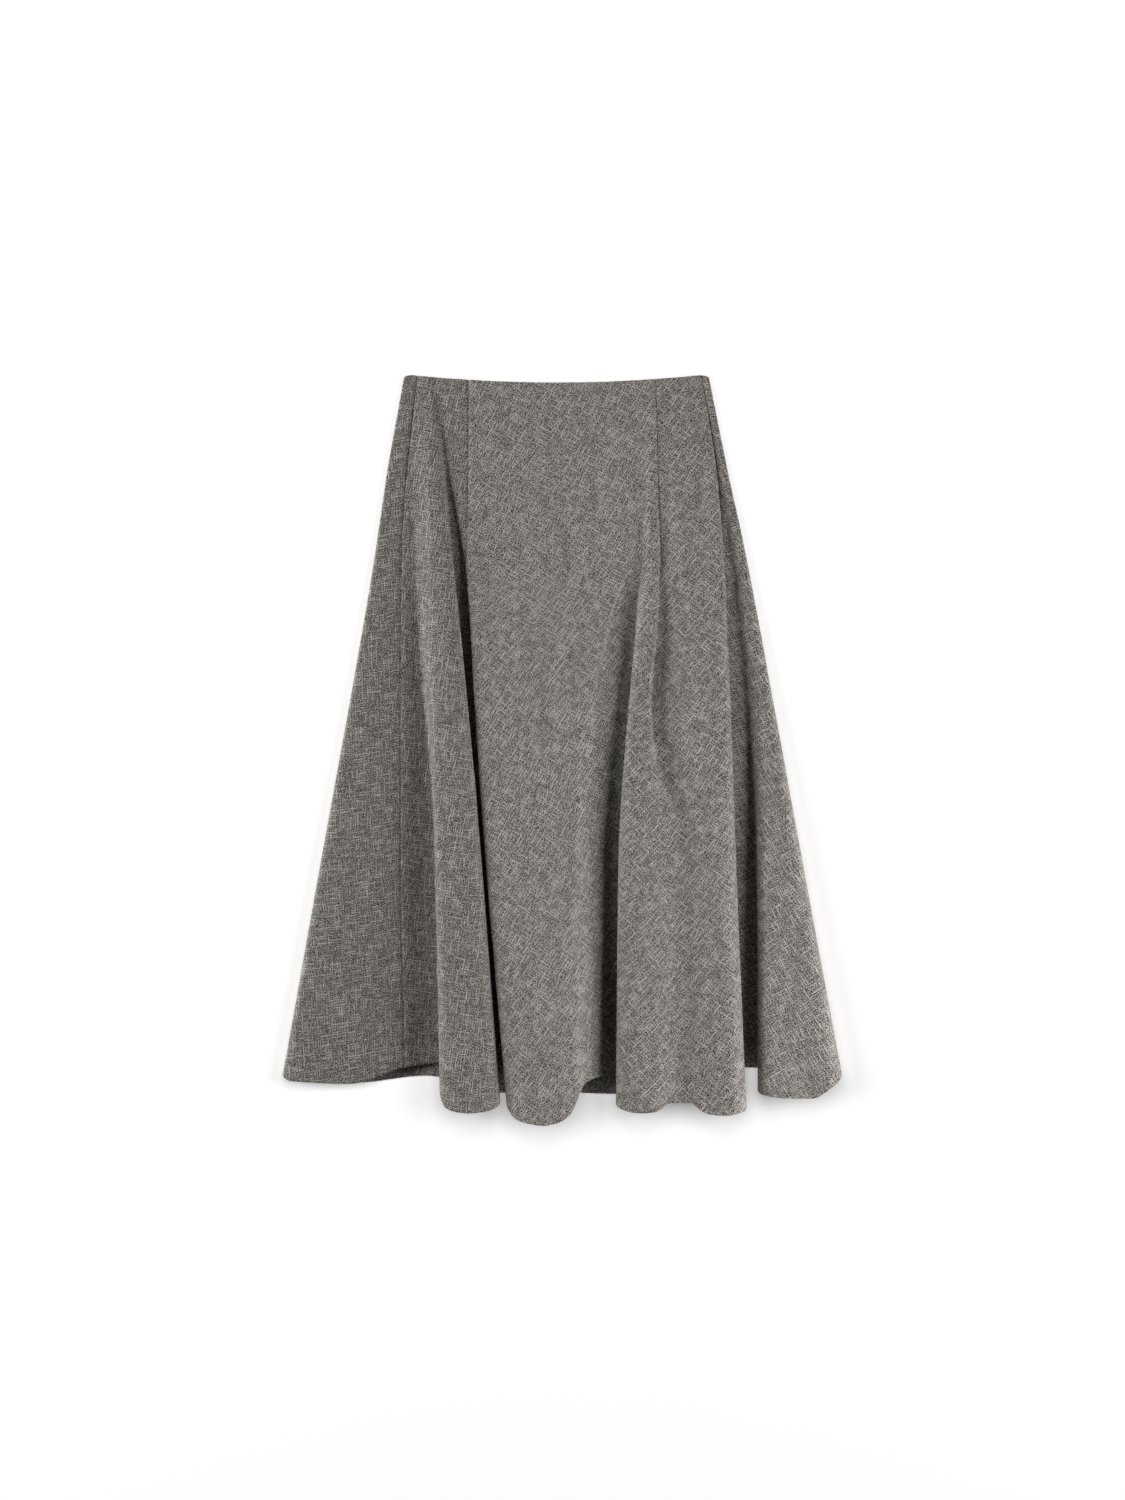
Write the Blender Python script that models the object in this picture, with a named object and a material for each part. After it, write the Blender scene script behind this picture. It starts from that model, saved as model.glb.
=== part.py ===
"""A flared midi skirt with two godets, laid flat on its back.

The cloth is one tube of seven panels, open at the waist and at the hem. Its shape is worked
out from sections across the skirt. A section starts at the centre back seam, runs along the
surface to the left edge, over the folds of the front to the right edge, and back along the
surface. Left and right are those of a person looking down on the front.

Tables are in millimetres. x is measured from the centre line, heights are those of the
middle of the cloth above the surface, and drops are measured down from the middle of the
waist edge. A share is a part of the way from the waist edge, 0, to the hem, 1.
"""

import math
from collections import namedtuple

import bpy
import numpy as np

MM = 0.001  # metres

WALL = 1.5
SEAM_GAP = 0.3
REST_HEIGHT = WALL / 2  # middle of the cloth where the back lies on the surface
LEFT_EDGE_LEAN = 0.75  # half width of the rolled side edge over its half height
RIGHT_EDGE_LEAN = 0.6
TIGHTEST_EDGE = 1.9
FOLD_RADIUS = 3.2  # roll of the cloth where a flank turns back along the floor of a valley
STEEPEST_FOLD = 0.21  # the roll's radius over the rise of a low ridge
FULL_TUCK = 8.0  # tuck from which a flank ends in a full roll
FACE_BEGINS = 0.9  # height of a ridge's shoulder over the height of its crest
FLANK_EDGE = 0.57  # height of a ridge's outermost point over the height of its crest
FOOT_SPREAD = 0.15  # length of the rounded foot of a sloping flank over its width
OUTER_RIDGE_LEAN = 0.12  # how much higher the right side of its face is, over its rise

ROWS = (0.0, 0.06, 0.12, 0.17, 0.21, 0.25, 0.262, 0.28, 0.30, 0.325, 0.35, 0.38,
        0.415, 0.45, 0.50, 0.56, 0.62, 0.69, 0.76, 0.84, 0.92, 1.0)
RIDGE_POINTS = 13
EDGE_SPANS = 4  # spans between points round each edge of a ridge and round a side edge
CLEAR_OF_SEAM = 0.3  # least part of a span between a seam and the column beside it
SMALL_STEP = 0.002  # for slopes of the surface

WAIST_MIDDLE = -7.7
WAIST_HALF_WIDTH = 166.5
WAIST_DIP = 8.8
CORNER_BEGINS = 0.95  # of the half width
CORNER_DROP = 2.8
BACK_WAIST_DROP = 1.0

ZIP_LENGTH = 200.0
ZIP_WIDTH = 24.0
ZIP_TAPE = 0.6
ZIP_COIL_WIDTH = 5.0
ZIP_COIL = 0.6
ZIP_TOP_DROP = 6.0
ZIP_LIFT = 0.3

Ridge = namedtuple("Ridge", "share left right height tuck_left tuck_right")
# A tuck is how far the foot of a flank lies under its ridge. A sloping flank has a negative one.
LEFT_RIDGE = (
    Ridge(0.00, -153, -145, 4.5, -4, -4),
    Ridge(0.12, -153, -136, 8.0, -5, -4),
    Ridge(0.25, -150, -122, 17.0, -8, 3),
    Ridge(0.45, -146, -105.5, 27.0, -6, 16),
    Ridge(0.67, -140, -90, 36.0, 1, 28),
    Ridge(1.00, -134, -70, 44.0, 3, 42),
)
CENTRE_RIDGE = (
    Ridge(0.00, -134, 80, 4.5, -4, -4),
    Ridge(0.12, -123, 80, 5.5, -4, -4),
    Ridge(0.25, -107, 71, 11.0, -2, -8),
    Ridge(0.34, -101, 58, 16.0, 4, -12),
    Ridge(0.45, -96.5, 44, 22.0, 13, -25),
    Ridge(0.67, -84, 31, 34.0, 22, -23),
    Ridge(1.00, -61, 30, 46.0, 32, -20),
)
INNER_RIGHT_RIDGE = (
    Ridge(0.00, 93.5, 101, 4.5, -4, -4),
    Ridge(0.12, 92.5, 102.5, 5.5, -4, -4),
    Ridge(0.25, 92, 105.5, 11.0, -5, -2),
    Ridge(0.34, 82, 103, 18.0, 0, 1),
    Ridge(0.45, 73, 95.5, 24.0, 12, 1),
    Ridge(0.67, 61.5, 109, 33.0, 34, -18),
    Ridge(1.00, 59, 111, 40.0, 45, -12),
)
OUTER_RIGHT_RIDGE = (
    Ridge(0.00, 120, 150, 4.5, -4, -2),
    Ridge(0.12, 120, 165, 8.0, -5, -2),
    Ridge(0.25, 123, 176, 14.0, -8, 2),
    Ridge(0.34, 124, 179, 18.0, -12, 5),
    Ridge(0.45, 124, 183, 24.0, -14, 12),
    Ridge(0.67, 151, 189, 35.0, -14, 18),
    Ridge(1.00, 151, 200, 44.0, -15, 22),
)

Side = namedtuple("Side", "share edge height")
LEFT_SIDE = (
    Side(0.00, -174, 4.5),
    Side(0.12, -190.5, 5.5),
    Side(0.25, -205.5, 7.5),
    Side(0.45, -231.5, 11.0),
    Side(0.67, -262, 15.0),
    Side(1.00, -307, 18.0),
)

Flank = namedtuple("Flank", "share left edge height tuck_left")
RIGHT_SIDE = (
    Flank(0.00, 155, 159.5, 4.5, -1),
    Flank(0.12, 173, 178, 5.2, -2),
    Flank(0.25, 189, 199.5, 9.0, -6),
    Flank(0.45, 208, 228, 17.0, -8),
    Flank(0.67, 213.5, 258.5, 27.0, -1),
    Flank(1.00, 214.5, 305, 36.0, 6),
)

Floor = namedtuple("Floor", "share side_left left right dip side_right")
FLOORS = (
    Floor(0.00, 4.5, 4.5, 4.5, 4.5, 4.5),
    Floor(0.12, 4.5, 4.2, 4.5, 4.8, 4.3),
    Floor(0.25, 4.4, 3.8, 5.5, 7.0, 4.0),
    Floor(0.45, 4.2, 3.6, 4.2, 13.0, 3.8),
    Floor(0.67, 4.0, 3.5, 3.8, 27.0, 3.6),
    Floor(1.00, 4.0, 3.5, 3.6, 34.0, 3.5),
)

Hem = namedtuple("Hem", "foot_left left crest right foot_right")
LEFT_HEM = Hem(747, 778, 800, 788, 765)
CENTRE_HEM = Hem(762, 789, 813.5, 767, 761)
INNER_RIGHT_HEM = Hem(763, 790, 800, 792, 789.5)
OUTER_RIGHT_HEM = Hem(789.5, 797.5, 802.5, 796, 752)
RIGHT_SIDE_HEM = Hem(748, 777, 784.5, 772, 759)
LEFT_SIDE_HEM = Hem(761, 766, 769.5, 752, 744)

BackPoint = namedtuple("BackPoint", "half_width drop")
CENTRE_BACK_DROP = 779
BACK_LEFT = (BackPoint(0.22, 780), BackPoint(0.50, 761), BackPoint(0.76, 769))
BACK_RIGHT = (BackPoint(0.19, 781), BackPoint(0.42, 772), BackPoint(0.68, 752))
CENTRE_BACK_WAIST = -7.0
CENTRE_BACK_HEM = 0.0

SeamPoint = namedtuple("SeamPoint", "share x")
LEFT_SIDE_SEAM = (
    SeamPoint(0.00, -160),
    SeamPoint(0.12, -170.5),
    SeamPoint(0.25, -177.5),
    SeamPoint(0.45, -178.5),
    SeamPoint(0.67, -178.5),
    SeamPoint(1.00, -174),
)
LEFT_FRONT_SEAM = (
    SeamPoint(0.00, -104),
    SeamPoint(0.12, -104.5),
    SeamPoint(0.25, -106.5),
)
RIGHT_FRONT_SEAM = (
    SeamPoint(0.00, 102),
    SeamPoint(0.12, 104.5),
    SeamPoint(0.25, 107),
)

Offset = namedtuple("Offset", "share along")
# How far along the cloth a seam lies from the edge of a ridge.
CENTRE_TO_LEFT_GODET = (
    Offset(0.35, -16),
    Offset(0.45, -32),
    Offset(0.67, -50),
    Offset(1.00, -66),
)
INNER_TO_RIGHT_GODET = (
    Offset(0.45, 2),
    Offset(0.67, 4),
    Offset(1.00, 10),
)
RIGHT_SIDE_SEAM = (
    Offset(0.00, 2),
    Offset(0.25, 5),
    Offset(0.45, 12),
    Offset(1.00, 26),
)
GODET_APEX = 0.25
GODET_BEGINS = 0.262  # share where a godet's cloth begins, below the parting of its neighbours
GODET_WIDTH = 100.0

WOOL_COLOUR = (0.205, 0.192, 0.178, 1.0)
TAPE_COLOUR = (0.075, 0.070, 0.065, 1.0)


def along(table, share, column):
    """One column of a table at a share of the length, on a curve with no overshoot."""
    shares = np.array([row.share for row in table], float)
    values = np.array([getattr(row, column) for row in table], float)
    return float(smooth_through(shares, values, np.array([share]))[0])


def smooth_through(knots, values, wanted):
    """Values on a smooth curve that rises and falls only where its knots do."""
    step = np.diff(knots)
    slope = np.diff(values) / step
    tangent = np.zeros(len(knots))
    tangent[0] = slope[0]
    tangent[-1] = slope[-1]
    for i in range(1, len(knots) - 1):
        if slope[i - 1] * slope[i] > 0:
            before = 2 * step[i] + step[i - 1]
            after = step[i] + 2 * step[i - 1]
            tangent[i] = (before + after) / (before / slope[i - 1] + after / slope[i])
    wanted = np.clip(wanted, knots[0], knots[-1])
    i = np.clip(np.searchsorted(knots, wanted, side="right") - 1, 0, len(step) - 1)
    return hermite(values[i], values[i + 1], tangent[i], tangent[i + 1],
                   step[i], (wanted - knots[i]) / step[i])


def hermite(start, end, start_tangent, end_tangent, length, part):
    """A cubic between two values with the given slopes, at a part of its length."""
    square = part * part
    cube = square * part
    return ((2 * cube - 3 * square + 1) * start
            + (cube - 2 * square + part) * length * start_tangent
            + (3 * square - 2 * cube) * end
            + (cube - square) * length * end_tangent)


def foot_points(edge, tuck, floor, rise, outward):
    """Three points from the flank of a ridge to the floor beside it."""
    tip = edge - outward * tuck
    radius = min(FOLD_RADIUS, STEEPEST_FOLD * rise)
    if tuck > 0:
        part = min(tuck / FULL_TUCK, 1.0)
        flank = math.radians(180 - 90 * part * part * (3 - 2 * part))
        floor_side = math.radians(270)
        points = []
        for angle in (flank, (flank + floor_side) / 2, floor_side):
            x = tip + outward * radius * (1 + math.cos(angle))
            points.append((x, floor + radius * (1 + math.sin(angle))))
        return points
    climb = FLANK_EDGE * rise
    length = max(math.hypot(tuck, climb), 1e-6)
    spread = radius - FOOT_SPREAD * tuck
    reach = min(spread, 0.5 * length)
    upper = (tip + outward * reach * tuck / length, floor + reach * climb / length)
    lower = (tip + outward * spread, floor)
    turn = (0.25 * upper[0] + 0.5 * tip + 0.25 * lower[0], 0.75 * floor + 0.25 * upper[1])
    return upper, turn, lower


def ridge_points(table, share, floor_left, floor_right, hem, lean=0.0):
    """Points (x, height, hem drop) over one ridge, from its left foot to its right foot."""
    left = along(table, share, "left")
    right = along(table, share, "right")
    height = along(table, share, "height")
    tuck_left = along(table, share, "tuck_left")
    tuck_right = along(table, share, "tuck_right")
    rise_left = height - floor_left
    rise_right = height - floor_right
    widest = 0.3 * (right - left)
    round_left = min(widest, 0.25 * rise_left + 0.3 * max(0.0, -tuck_left))
    round_right = min(widest, 0.25 * rise_right + 0.3 * max(0.0, -tuck_right))
    upper, turn, lower = foot_points(left, tuck_left, floor_left, rise_left, -1)
    points = [(*lower, hem.foot_left), (*turn, hem.foot_left), (*upper, hem.foot_left)]
    points.append((left, floor_left + FLANK_EDGE * rise_left, hem.left))
    start = (left + round_left, floor_left + FACE_BEGINS * rise_left, 0.75 * hem.crest + 0.25 * hem.left)
    end = (right - round_right, floor_right + FACE_BEGINS * rise_right, 0.75 * hem.crest + 0.25 * hem.right)
    for part in (0.0, 0.25, 0.5, 0.75, 1.0):
        crown = 4 * part * (1 - part)
        x = start[0] + part * (end[0] - start[0])
        z = start[1] + part * (end[1] - start[1])
        drop = start[2] + part * (end[2] - start[2])
        tilt = lean * (part - 0.5) * rise_right
        points.append((x, z + crown * (height - z) + tilt, drop + crown * (hem.crest - drop)))
    points.append((right, floor_right + FLANK_EDGE * rise_right, hem.right))
    upper, turn, lower = foot_points(right, tuck_right, floor_right, rise_right, 1)
    points += [(*upper, hem.foot_right), (*turn, hem.foot_right), (*lower, hem.foot_right)]
    return points


def rolled_edge(edge, height, lean, inward, drops):
    """Five points round a side edge, from where the back leaves the surface to the crest."""
    half_height = (height - REST_HEIGHT) / 2
    half_width = max(TIGHTEST_EDGE, lean * half_height)
    points = []
    for i, drop in enumerate(drops):
        angle = math.radians(-90 + 45 * i)
        x = edge + inward * half_width * (1 - math.cos(angle))
        points.append((x, REST_HEIGHT + half_height * (1 + math.sin(angle)), drop))
    return points


def section(share):
    """All points of one section, and the place in it of each named point."""
    floors = {name: along(FLOORS, share, name) for name in Floor._fields[1:]}
    centre_back = CENTRE_BACK_WAIST + share * (CENTRE_BACK_HEM - CENTRE_BACK_WAIST)
    hem = LEFT_SIDE_HEM
    left_roll = rolled_edge(along(LEFT_SIDE, share, "edge"), along(LEFT_SIDE, share, "height"), LEFT_EDGE_LEAN,
                            1, (hem.foot_left, hem.foot_left, hem.foot_left, hem.foot_left + 2, hem.left))
    hem = RIGHT_SIDE_HEM
    right_roll = rolled_edge(along(RIGHT_SIDE, share, "edge"), along(RIGHT_SIDE, share, "height"), RIGHT_EDGE_LEAN,
                             -1, (hem.foot_right, hem.foot_right, hem.foot_right, hem.foot_right + 6, hem.right))
    left_ridge = ridge_points(LEFT_RIDGE, share, floors["side_left"], floors["left"], LEFT_HEM)
    centre_ridge = ridge_points(CENTRE_RIDGE, share, floors["left"], floors["right"], CENTRE_HEM)
    inner_ridge = ridge_points(INNER_RIGHT_RIDGE, share, floors["right"], floors["dip"], INNER_RIGHT_HEM)
    outer_ridge = ridge_points(OUTER_RIGHT_RIDGE, share, floors["dip"], floors["side_right"], OUTER_RIGHT_HEM,
                               OUTER_RIDGE_LEAN)

    points = [(centre_back, REST_HEIGHT, CENTRE_BACK_DROP)]
    for row in BACK_LEFT:
        x = centre_back + row.half_width * (left_roll[0][0] - centre_back)
        points.append((x, REST_HEIGHT, row.drop))
    places = {}
    points += left_roll
    places["left_edge_crest"] = len(points) - 1
    crest = left_roll[-1]
    foot = left_ridge[0]
    for part, sag, drop in ((0.4, 0.08, LEFT_SIDE_HEM.crest), (0.75, 0.04, LEFT_SIDE_HEM.right)):
        x = crest[0] + part * (foot[0] - crest[0])
        z = crest[1] + (part - sag) * (foot[1] - crest[1])
        points.append((x, z, drop))
    for name, ridge in (("left", left_ridge), ("centre", centre_ridge),
                        ("inner", inner_ridge), ("outer", outer_ridge)):
        places[name + "_foot"] = len(points)
        places[name + "_left_edge"] = len(points) + 3
        points += ridge
        places[name + "_right_edge"] = len(points) - 4
    places["side_foot"] = len(points)
    points += side_flank(share, floors["side_right"], right_roll[-1])
    places["right_edge_crest"] = len(points)
    points += reversed(right_roll)
    for row in reversed(BACK_RIGHT):
        x = centre_back + row.half_width * (right_roll[0][0] - centre_back)
        points.append((x, REST_HEIGHT, row.drop))
    points.append((centre_back, REST_HEIGHT, CENTRE_BACK_DROP))
    return np.array(points), places


def side_flank(share, floor, crest):
    """Points from the recess beside the outer right ridge up to the crest of the right edge."""
    left = along(RIGHT_SIDE, share, "left")
    height = along(RIGHT_SIDE, share, "height")
    tuck = along(RIGHT_SIDE, share, "tuck_left")
    rise = 0.85 * (height - floor)
    upper, turn, lower = foot_points(left, tuck, floor, rise, -1)
    hem = RIGHT_SIDE_HEM
    points = [(*lower, hem.foot_left), (*turn, hem.foot_left), (*upper, hem.foot_left)]
    points.append((left, floor + FLANK_EDGE * rise, hem.left))
    shoulder = left + min(0.3 * (crest[0] - left), 0.25 * rise + 0.6 * max(0.0, -tuck))
    points.append((shoulder, floor + FACE_BEGINS * rise, 0.4 * hem.left + 0.6 * hem.crest))
    for part in (0.35, 0.7):
        x = shoulder + part * (crest[0] - shoulder)
        points.append((x, floor + rise * (FACE_BEGINS + 0.25 * part), hem.crest))
    return points


class Section:
    """The curve of the cloth at one share of the length, measured along the cloth."""

    FINE = 16  # measured steps in each span between two points

    def __init__(self, share):
        self.share = share
        self.points, self.places = section(share)
        steps = np.linalg.norm(np.diff(self.points[:, :2], axis=0), axis=1)
        self.knots = np.concatenate([[0], np.cumsum(np.sqrt(np.maximum(steps, 1e-6)))])
        self.tangents = self.curve_tangents()
        self.fine = np.linspace(0, len(self.points) - 1, (len(self.points) - 1) * self.FINE + 1)
        curve = self.across(self.fine)
        lengths = np.linalg.norm(np.diff(curve, axis=0), axis=1)
        self.lengths = np.concatenate([[0], np.cumsum(lengths)])
        self.curve = curve

    def curve_tangents(self):
        """Slopes at the points of a curve that keeps close to them."""
        flat = self.points[:, :2]
        step = np.diff(self.knots)[:, None]
        slope = np.diff(flat, axis=0) / step
        inner = slope[:-1] + slope[1:] - (flat[2:] - flat[:-2]) / (step[:-1] + step[1:])
        tangents = np.vstack([slope[:1], inner, slope[-1:]])
        tangents[self.points[:, 1] == REST_HEIGHT, 1] = 0.0
        for name in ("left", "centre", "inner", "outer"):
            foot = self.places[name + "_foot"]
            tangents[[foot, foot + RIDGE_POINTS - 1], 1] = 0.0
        tangents[self.places["side_foot"], 1] = 0.0
        return tangents

    def across(self, place):
        """x and height at places counted in points along the section."""
        i = np.clip(np.floor(place).astype(int), 0, len(self.points) - 2)
        part = (place - i)[:, None]
        length = (self.knots[i + 1] - self.knots[i])[:, None]
        flat = self.points[:, :2]
        return hermite(flat[i], flat[i + 1], self.tangents[i], self.tangents[i + 1], length, part)

    def length_at(self, name):
        """Length of cloth from the centre back seam to a named point."""
        return float(np.interp(self.places[name], self.fine, self.lengths))

    def length_where(self, x, first, last):
        """Length of cloth to where the section crosses x between two named points."""
        low = self.places[first] * self.FINE
        high = self.places[last] * self.FINE
        return float(np.interp(x, self.curve[low:high, 0], self.lengths[low:high]))

    def place(self, length):
        """Place along the section of a length of cloth."""
        return float(np.interp(length, self.lengths, self.fine))


WAIST = Section(0.0)
HEM_DROPS = WAIST.points[:, 2]


def waist_drop(place):
    """How far the waist edge lies below the middle of the waist at a place along it."""
    flat = WAIST.across(place)
    ratio = np.abs(flat[:, 0] - WAIST_MIDDLE) / WAIST_HALF_WIDTH
    corner = np.clip((ratio - CORNER_BEGINS) / (1 - CORNER_BEGINS), 0, 1)
    under = np.clip((2 * TIGHTEST_EDGE + REST_HEIGHT - flat[:, 1]) / (2 * TIGHTEST_EDGE), 0, 1)
    return -WAIST_DIP * np.minimum(ratio, 1) ** 2 + CORNER_DROP * corner ** 2 + BACK_WAIST_DROP * under


def cloth(sect, place):
    """Points of the middle of the cloth."""
    flat = sect.across(place)
    top = waist_drop(place)
    hem = smooth_through(np.arange(len(HEM_DROPS), dtype=float), HEM_DROPS, place)
    down = top + sect.share * (hem - top)
    return np.column_stack([flat[:, 0], -down, flat[:, 1]])


def cloth_sides(sect, place):
    """The outer and the inner points of the cloth at places along a section."""
    middle = cloth(sect, place)
    low = max(sect.share - SMALL_STEP, 0.0)
    high = min(sect.share + SMALL_STEP, 1.0)
    down = cloth(Section(high), place) - cloth(Section(low), place)
    end = len(sect.points) - 1
    right = cloth(sect, np.minimum(place + SMALL_STEP, end)) - cloth(sect, np.maximum(place - SMALL_STEP, 0))
    normal = np.cross(down, right)
    normal /= np.linalg.norm(normal, axis=1)[:, None]
    return middle + normal * WALL / 2, middle - normal * WALL / 2


def seam_lengths(share):
    """Where each seam lies along the section, from the centre back round to the centre back."""
    sect = Section(share)
    left_side = sect.length_where(along(LEFT_SIDE_SEAM, share, "x"), "left_edge_crest", "left_foot")
    right_side = sect.length_at("outer_right_edge") + along(RIGHT_SIDE_SEAM, share, "along")
    left_godet = godet_seam(share, LEFT_FRONT_SEAM, "centre_left_edge",
                            ("centre_foot", "centre_right_edge"), CENTRE_TO_LEFT_GODET)
    right_godet = godet_seam(share, RIGHT_FRONT_SEAM, "inner_right_edge",
                             ("inner_left_edge", "outer_left_edge"), INNER_TO_RIGHT_GODET)
    width = GODET_WIDTH * max(0.0, (share - GODET_APEX) / (1 - GODET_APEX))
    return {
        "centre_back_left": 0.0,
        "left_side": left_side,
        "left_godet_left": left_godet - width,
        "left_godet_right": left_godet,
        "right_godet_left": right_godet - width,
        "right_godet_right": right_godet,
        "right_side": right_side,
        "centre_back_right": float(sect.lengths[-1]),
    }


def godet_seam(share, above, edge, stretch, below):
    """The right seam of a godet, and above the godet the front seam that it goes on from."""
    if share <= GODET_APEX:
        return Section(share).length_where(along(above, share, "x"), *stretch)
    start = Section(GODET_APEX)
    first = start.length_where(along(above, GODET_APEX, "x"), *stretch) - start.length_at(edge)
    rows = (Offset(GODET_APEX, first), *below)
    return Section(share).length_at(edge) + along(rows, share, "along")


def shared_columns():
    """Places of the columns that all rows share: two to a span where the cloth bends."""
    places = WAIST.places
    bends = set(range(places["left_edge_crest"] - EDGE_SPANS, places["left_edge_crest"]))
    bends |= set(range(places["right_edge_crest"], places["right_edge_crest"] + EDGE_SPANS))
    bends |= set(range(places["side_foot"], places["side_foot"] + EDGE_SPANS))
    for name in ("left", "centre", "inner", "outer"):
        foot = places[name + "_foot"]
        end = foot + RIDGE_POINTS - 1
        bends |= set(range(foot, foot + EDGE_SPANS)) | set(range(end - EDGE_SPANS, end))
    columns = []
    for i in range(len(WAIST.points)):
        columns += [float(i), i + 0.5] if i in bends else [float(i)]
    return columns


def panel(name, left_seam, right_seam, first_share=0.0):
    """One panel of cloth between two seams, as a closed wall."""
    rows = []
    outer = []
    inner = []
    for share in (share for share in ROWS if share >= first_share):
        sect = Section(share)
        lengths = seam_lengths(share)
        first = sect.place(lengths[left_seam] + SEAM_GAP / 2)
        last = sect.place(lengths[right_seam] - SEAM_GAP / 2)
        between = [place for place in COLUMNS if first + CLEAR_OF_SEAM < place < last - CLEAR_OF_SEAM]
        rows.append([first, *between, last])
        above, below = cloth_sides(sect, np.array(rows[-1]))
        outer.append(above)
        inner.append(below)
    return mesh_object(name, np.concatenate(outer + inner), wall_faces(rows))


def wall_faces(rows):
    """Faces of a wall from the places in its rows; its outer points come before its inner ones."""
    starts = [0]
    for row in rows:
        starts.append(starts[-1] + len(row))
    under = starts.pop()
    faces = []
    for i in range(len(rows) - 1):
        for a, b, c in stitches(rows[i], rows[i + 1], starts[i], starts[i + 1]):
            faces.append((a, b, c))
            faces.append((under + c, under + b, under + a))
        a = starts[i]
        b = starts[i + 1]
        faces.append((a, under + a, under + b, b))
        a += len(rows[i]) - 1
        b += len(rows[i + 1]) - 1
        faces.append((a, b, under + b, under + a))
    for j in range(len(rows[0]) - 1):
        faces.append((j, j + 1, under + j + 1, under + j))
    for j in range(starts[-1], starts[-1] + len(rows[-1]) - 1):
        faces.append((j, under + j, under + j + 1, j + 1))
    return faces


def stitches(upper, lower, upper_start, lower_start):
    """Triangles between two rows whose points lie at the given places."""
    triangles = []
    i = 0
    j = 0
    while i < len(upper) - 1 or j < len(lower) - 1:
        lower_done = j == len(lower) - 1
        if lower_done or (i < len(upper) - 1 and upper[i + 1] <= lower[j + 1]):
            triangles.append((upper_start + i, lower_start + j, upper_start + i + 1))
            i += 1
        else:
            triangles.append((upper_start + i, lower_start + j, lower_start + j + 1))
            j += 1
    return triangles


COLUMNS = shared_columns()


def mesh_object(name, points, faces):
    """An object in the scene with the given points, in millimetres."""
    mesh = bpy.data.meshes.new(name)
    mesh.from_pydata([tuple(point) for point in points * MM], [], faces)
    mesh.validate()
    mesh.shade_smooth()
    mesh.set_sharp_from_angle(angle=math.radians(50))
    made = bpy.data.objects.new(name, mesh)
    bpy.context.scene.collection.objects.link(made)
    return made


def zip_tape():
    """A closed concealed zip on the inside of the centre back seam: its tape with the coil on top."""
    low = WALL + ZIP_LIFT
    top = low + ZIP_TAPE
    half = ZIP_WIDTH / 2
    coil = ZIP_COIL_WIDTH / 2
    outline = ((-half, low), (half, low), (half, top), (coil, top), (coil, top + ZIP_COIL),
               (-coil, top + ZIP_COIL), (-coil, top), (-half, top))
    points = []
    for y in (-ZIP_TOP_DROP, -ZIP_TOP_DROP - ZIP_LENGTH):
        points += [(CENTRE_BACK_WAIST + x, y, z) for x, z in outline]
    count = len(outline)
    faces = [tuple(reversed(range(count))), tuple(range(count, 2 * count))]
    for i in range(count):
        j = (i + 1) % count
        faces.append((i, j, count + j, count + i))
    return mesh_object("back_zip", np.array(points), faces)


def finish(made, colour, roughness):
    """Gives an object its own material."""
    material = bpy.data.materials.new(made.name)
    material.use_nodes = True
    shader = material.node_tree.nodes["Principled BSDF"]
    shader.inputs["Base Color"].default_value = colour
    shader.inputs["Roughness"].default_value = roughness
    shader.inputs["Metallic"].default_value = 0.0
    made.data.materials.append(material)


def centre(pieces):
    """Moves the pieces so that the middle of their footprint is at the origin."""
    corners = np.array([vertex.co for made in pieces for vertex in made.data.vertices])
    middle = (corners.min(axis=0) + corners.max(axis=0)) / 2
    for made in pieces:
        made.location = (-middle[0], -middle[1], 0.0)


def main():
    for old in list(bpy.data.objects):
        bpy.data.objects.remove(old)
    pieces = [
        panel("back_left_gore", "centre_back_left", "left_side"),
        panel("front_left_gore", "left_side", "left_godet_left"),
        panel("godet_left", "left_godet_left", "left_godet_right", GODET_BEGINS),
        panel("front_centre_gore", "left_godet_right", "right_godet_left"),
        panel("godet_right", "right_godet_left", "right_godet_right", GODET_BEGINS),
        panel("front_right_gore", "right_godet_right", "right_side"),
        panel("back_right_gore", "right_side", "centre_back_right"),
    ]
    for made in pieces:
        finish(made, WOOL_COLOUR, 0.9)
    closure = zip_tape()
    finish(closure, TAPE_COLOUR, 0.7)
    pieces.append(closure)
    centre(pieces)


if __name__ == "__main__":
    main()
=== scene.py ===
"""A flared midi skirt with two godets, laid flat on its back in soft studio light.

The cloth follows sections across the skirt. A section starts at the centre back seam, runs
along the surface to the left edge, over the folds of the front to the right edge, and back
along the surface. Left and right are those of a person looking down on the front.

Tables are in millimetres. x is measured from the centre line, heights are those of the
middle of the cloth above the surface, and drops are measured down from the middle of the
waist edge. A share is a part of the way from the waist edge, 0, to the hem, 1.
"""

from __future__ import annotations

import logging
import math
from dataclasses import dataclass, field
from enum import Enum
from typing import NamedTuple, Sequence

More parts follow.
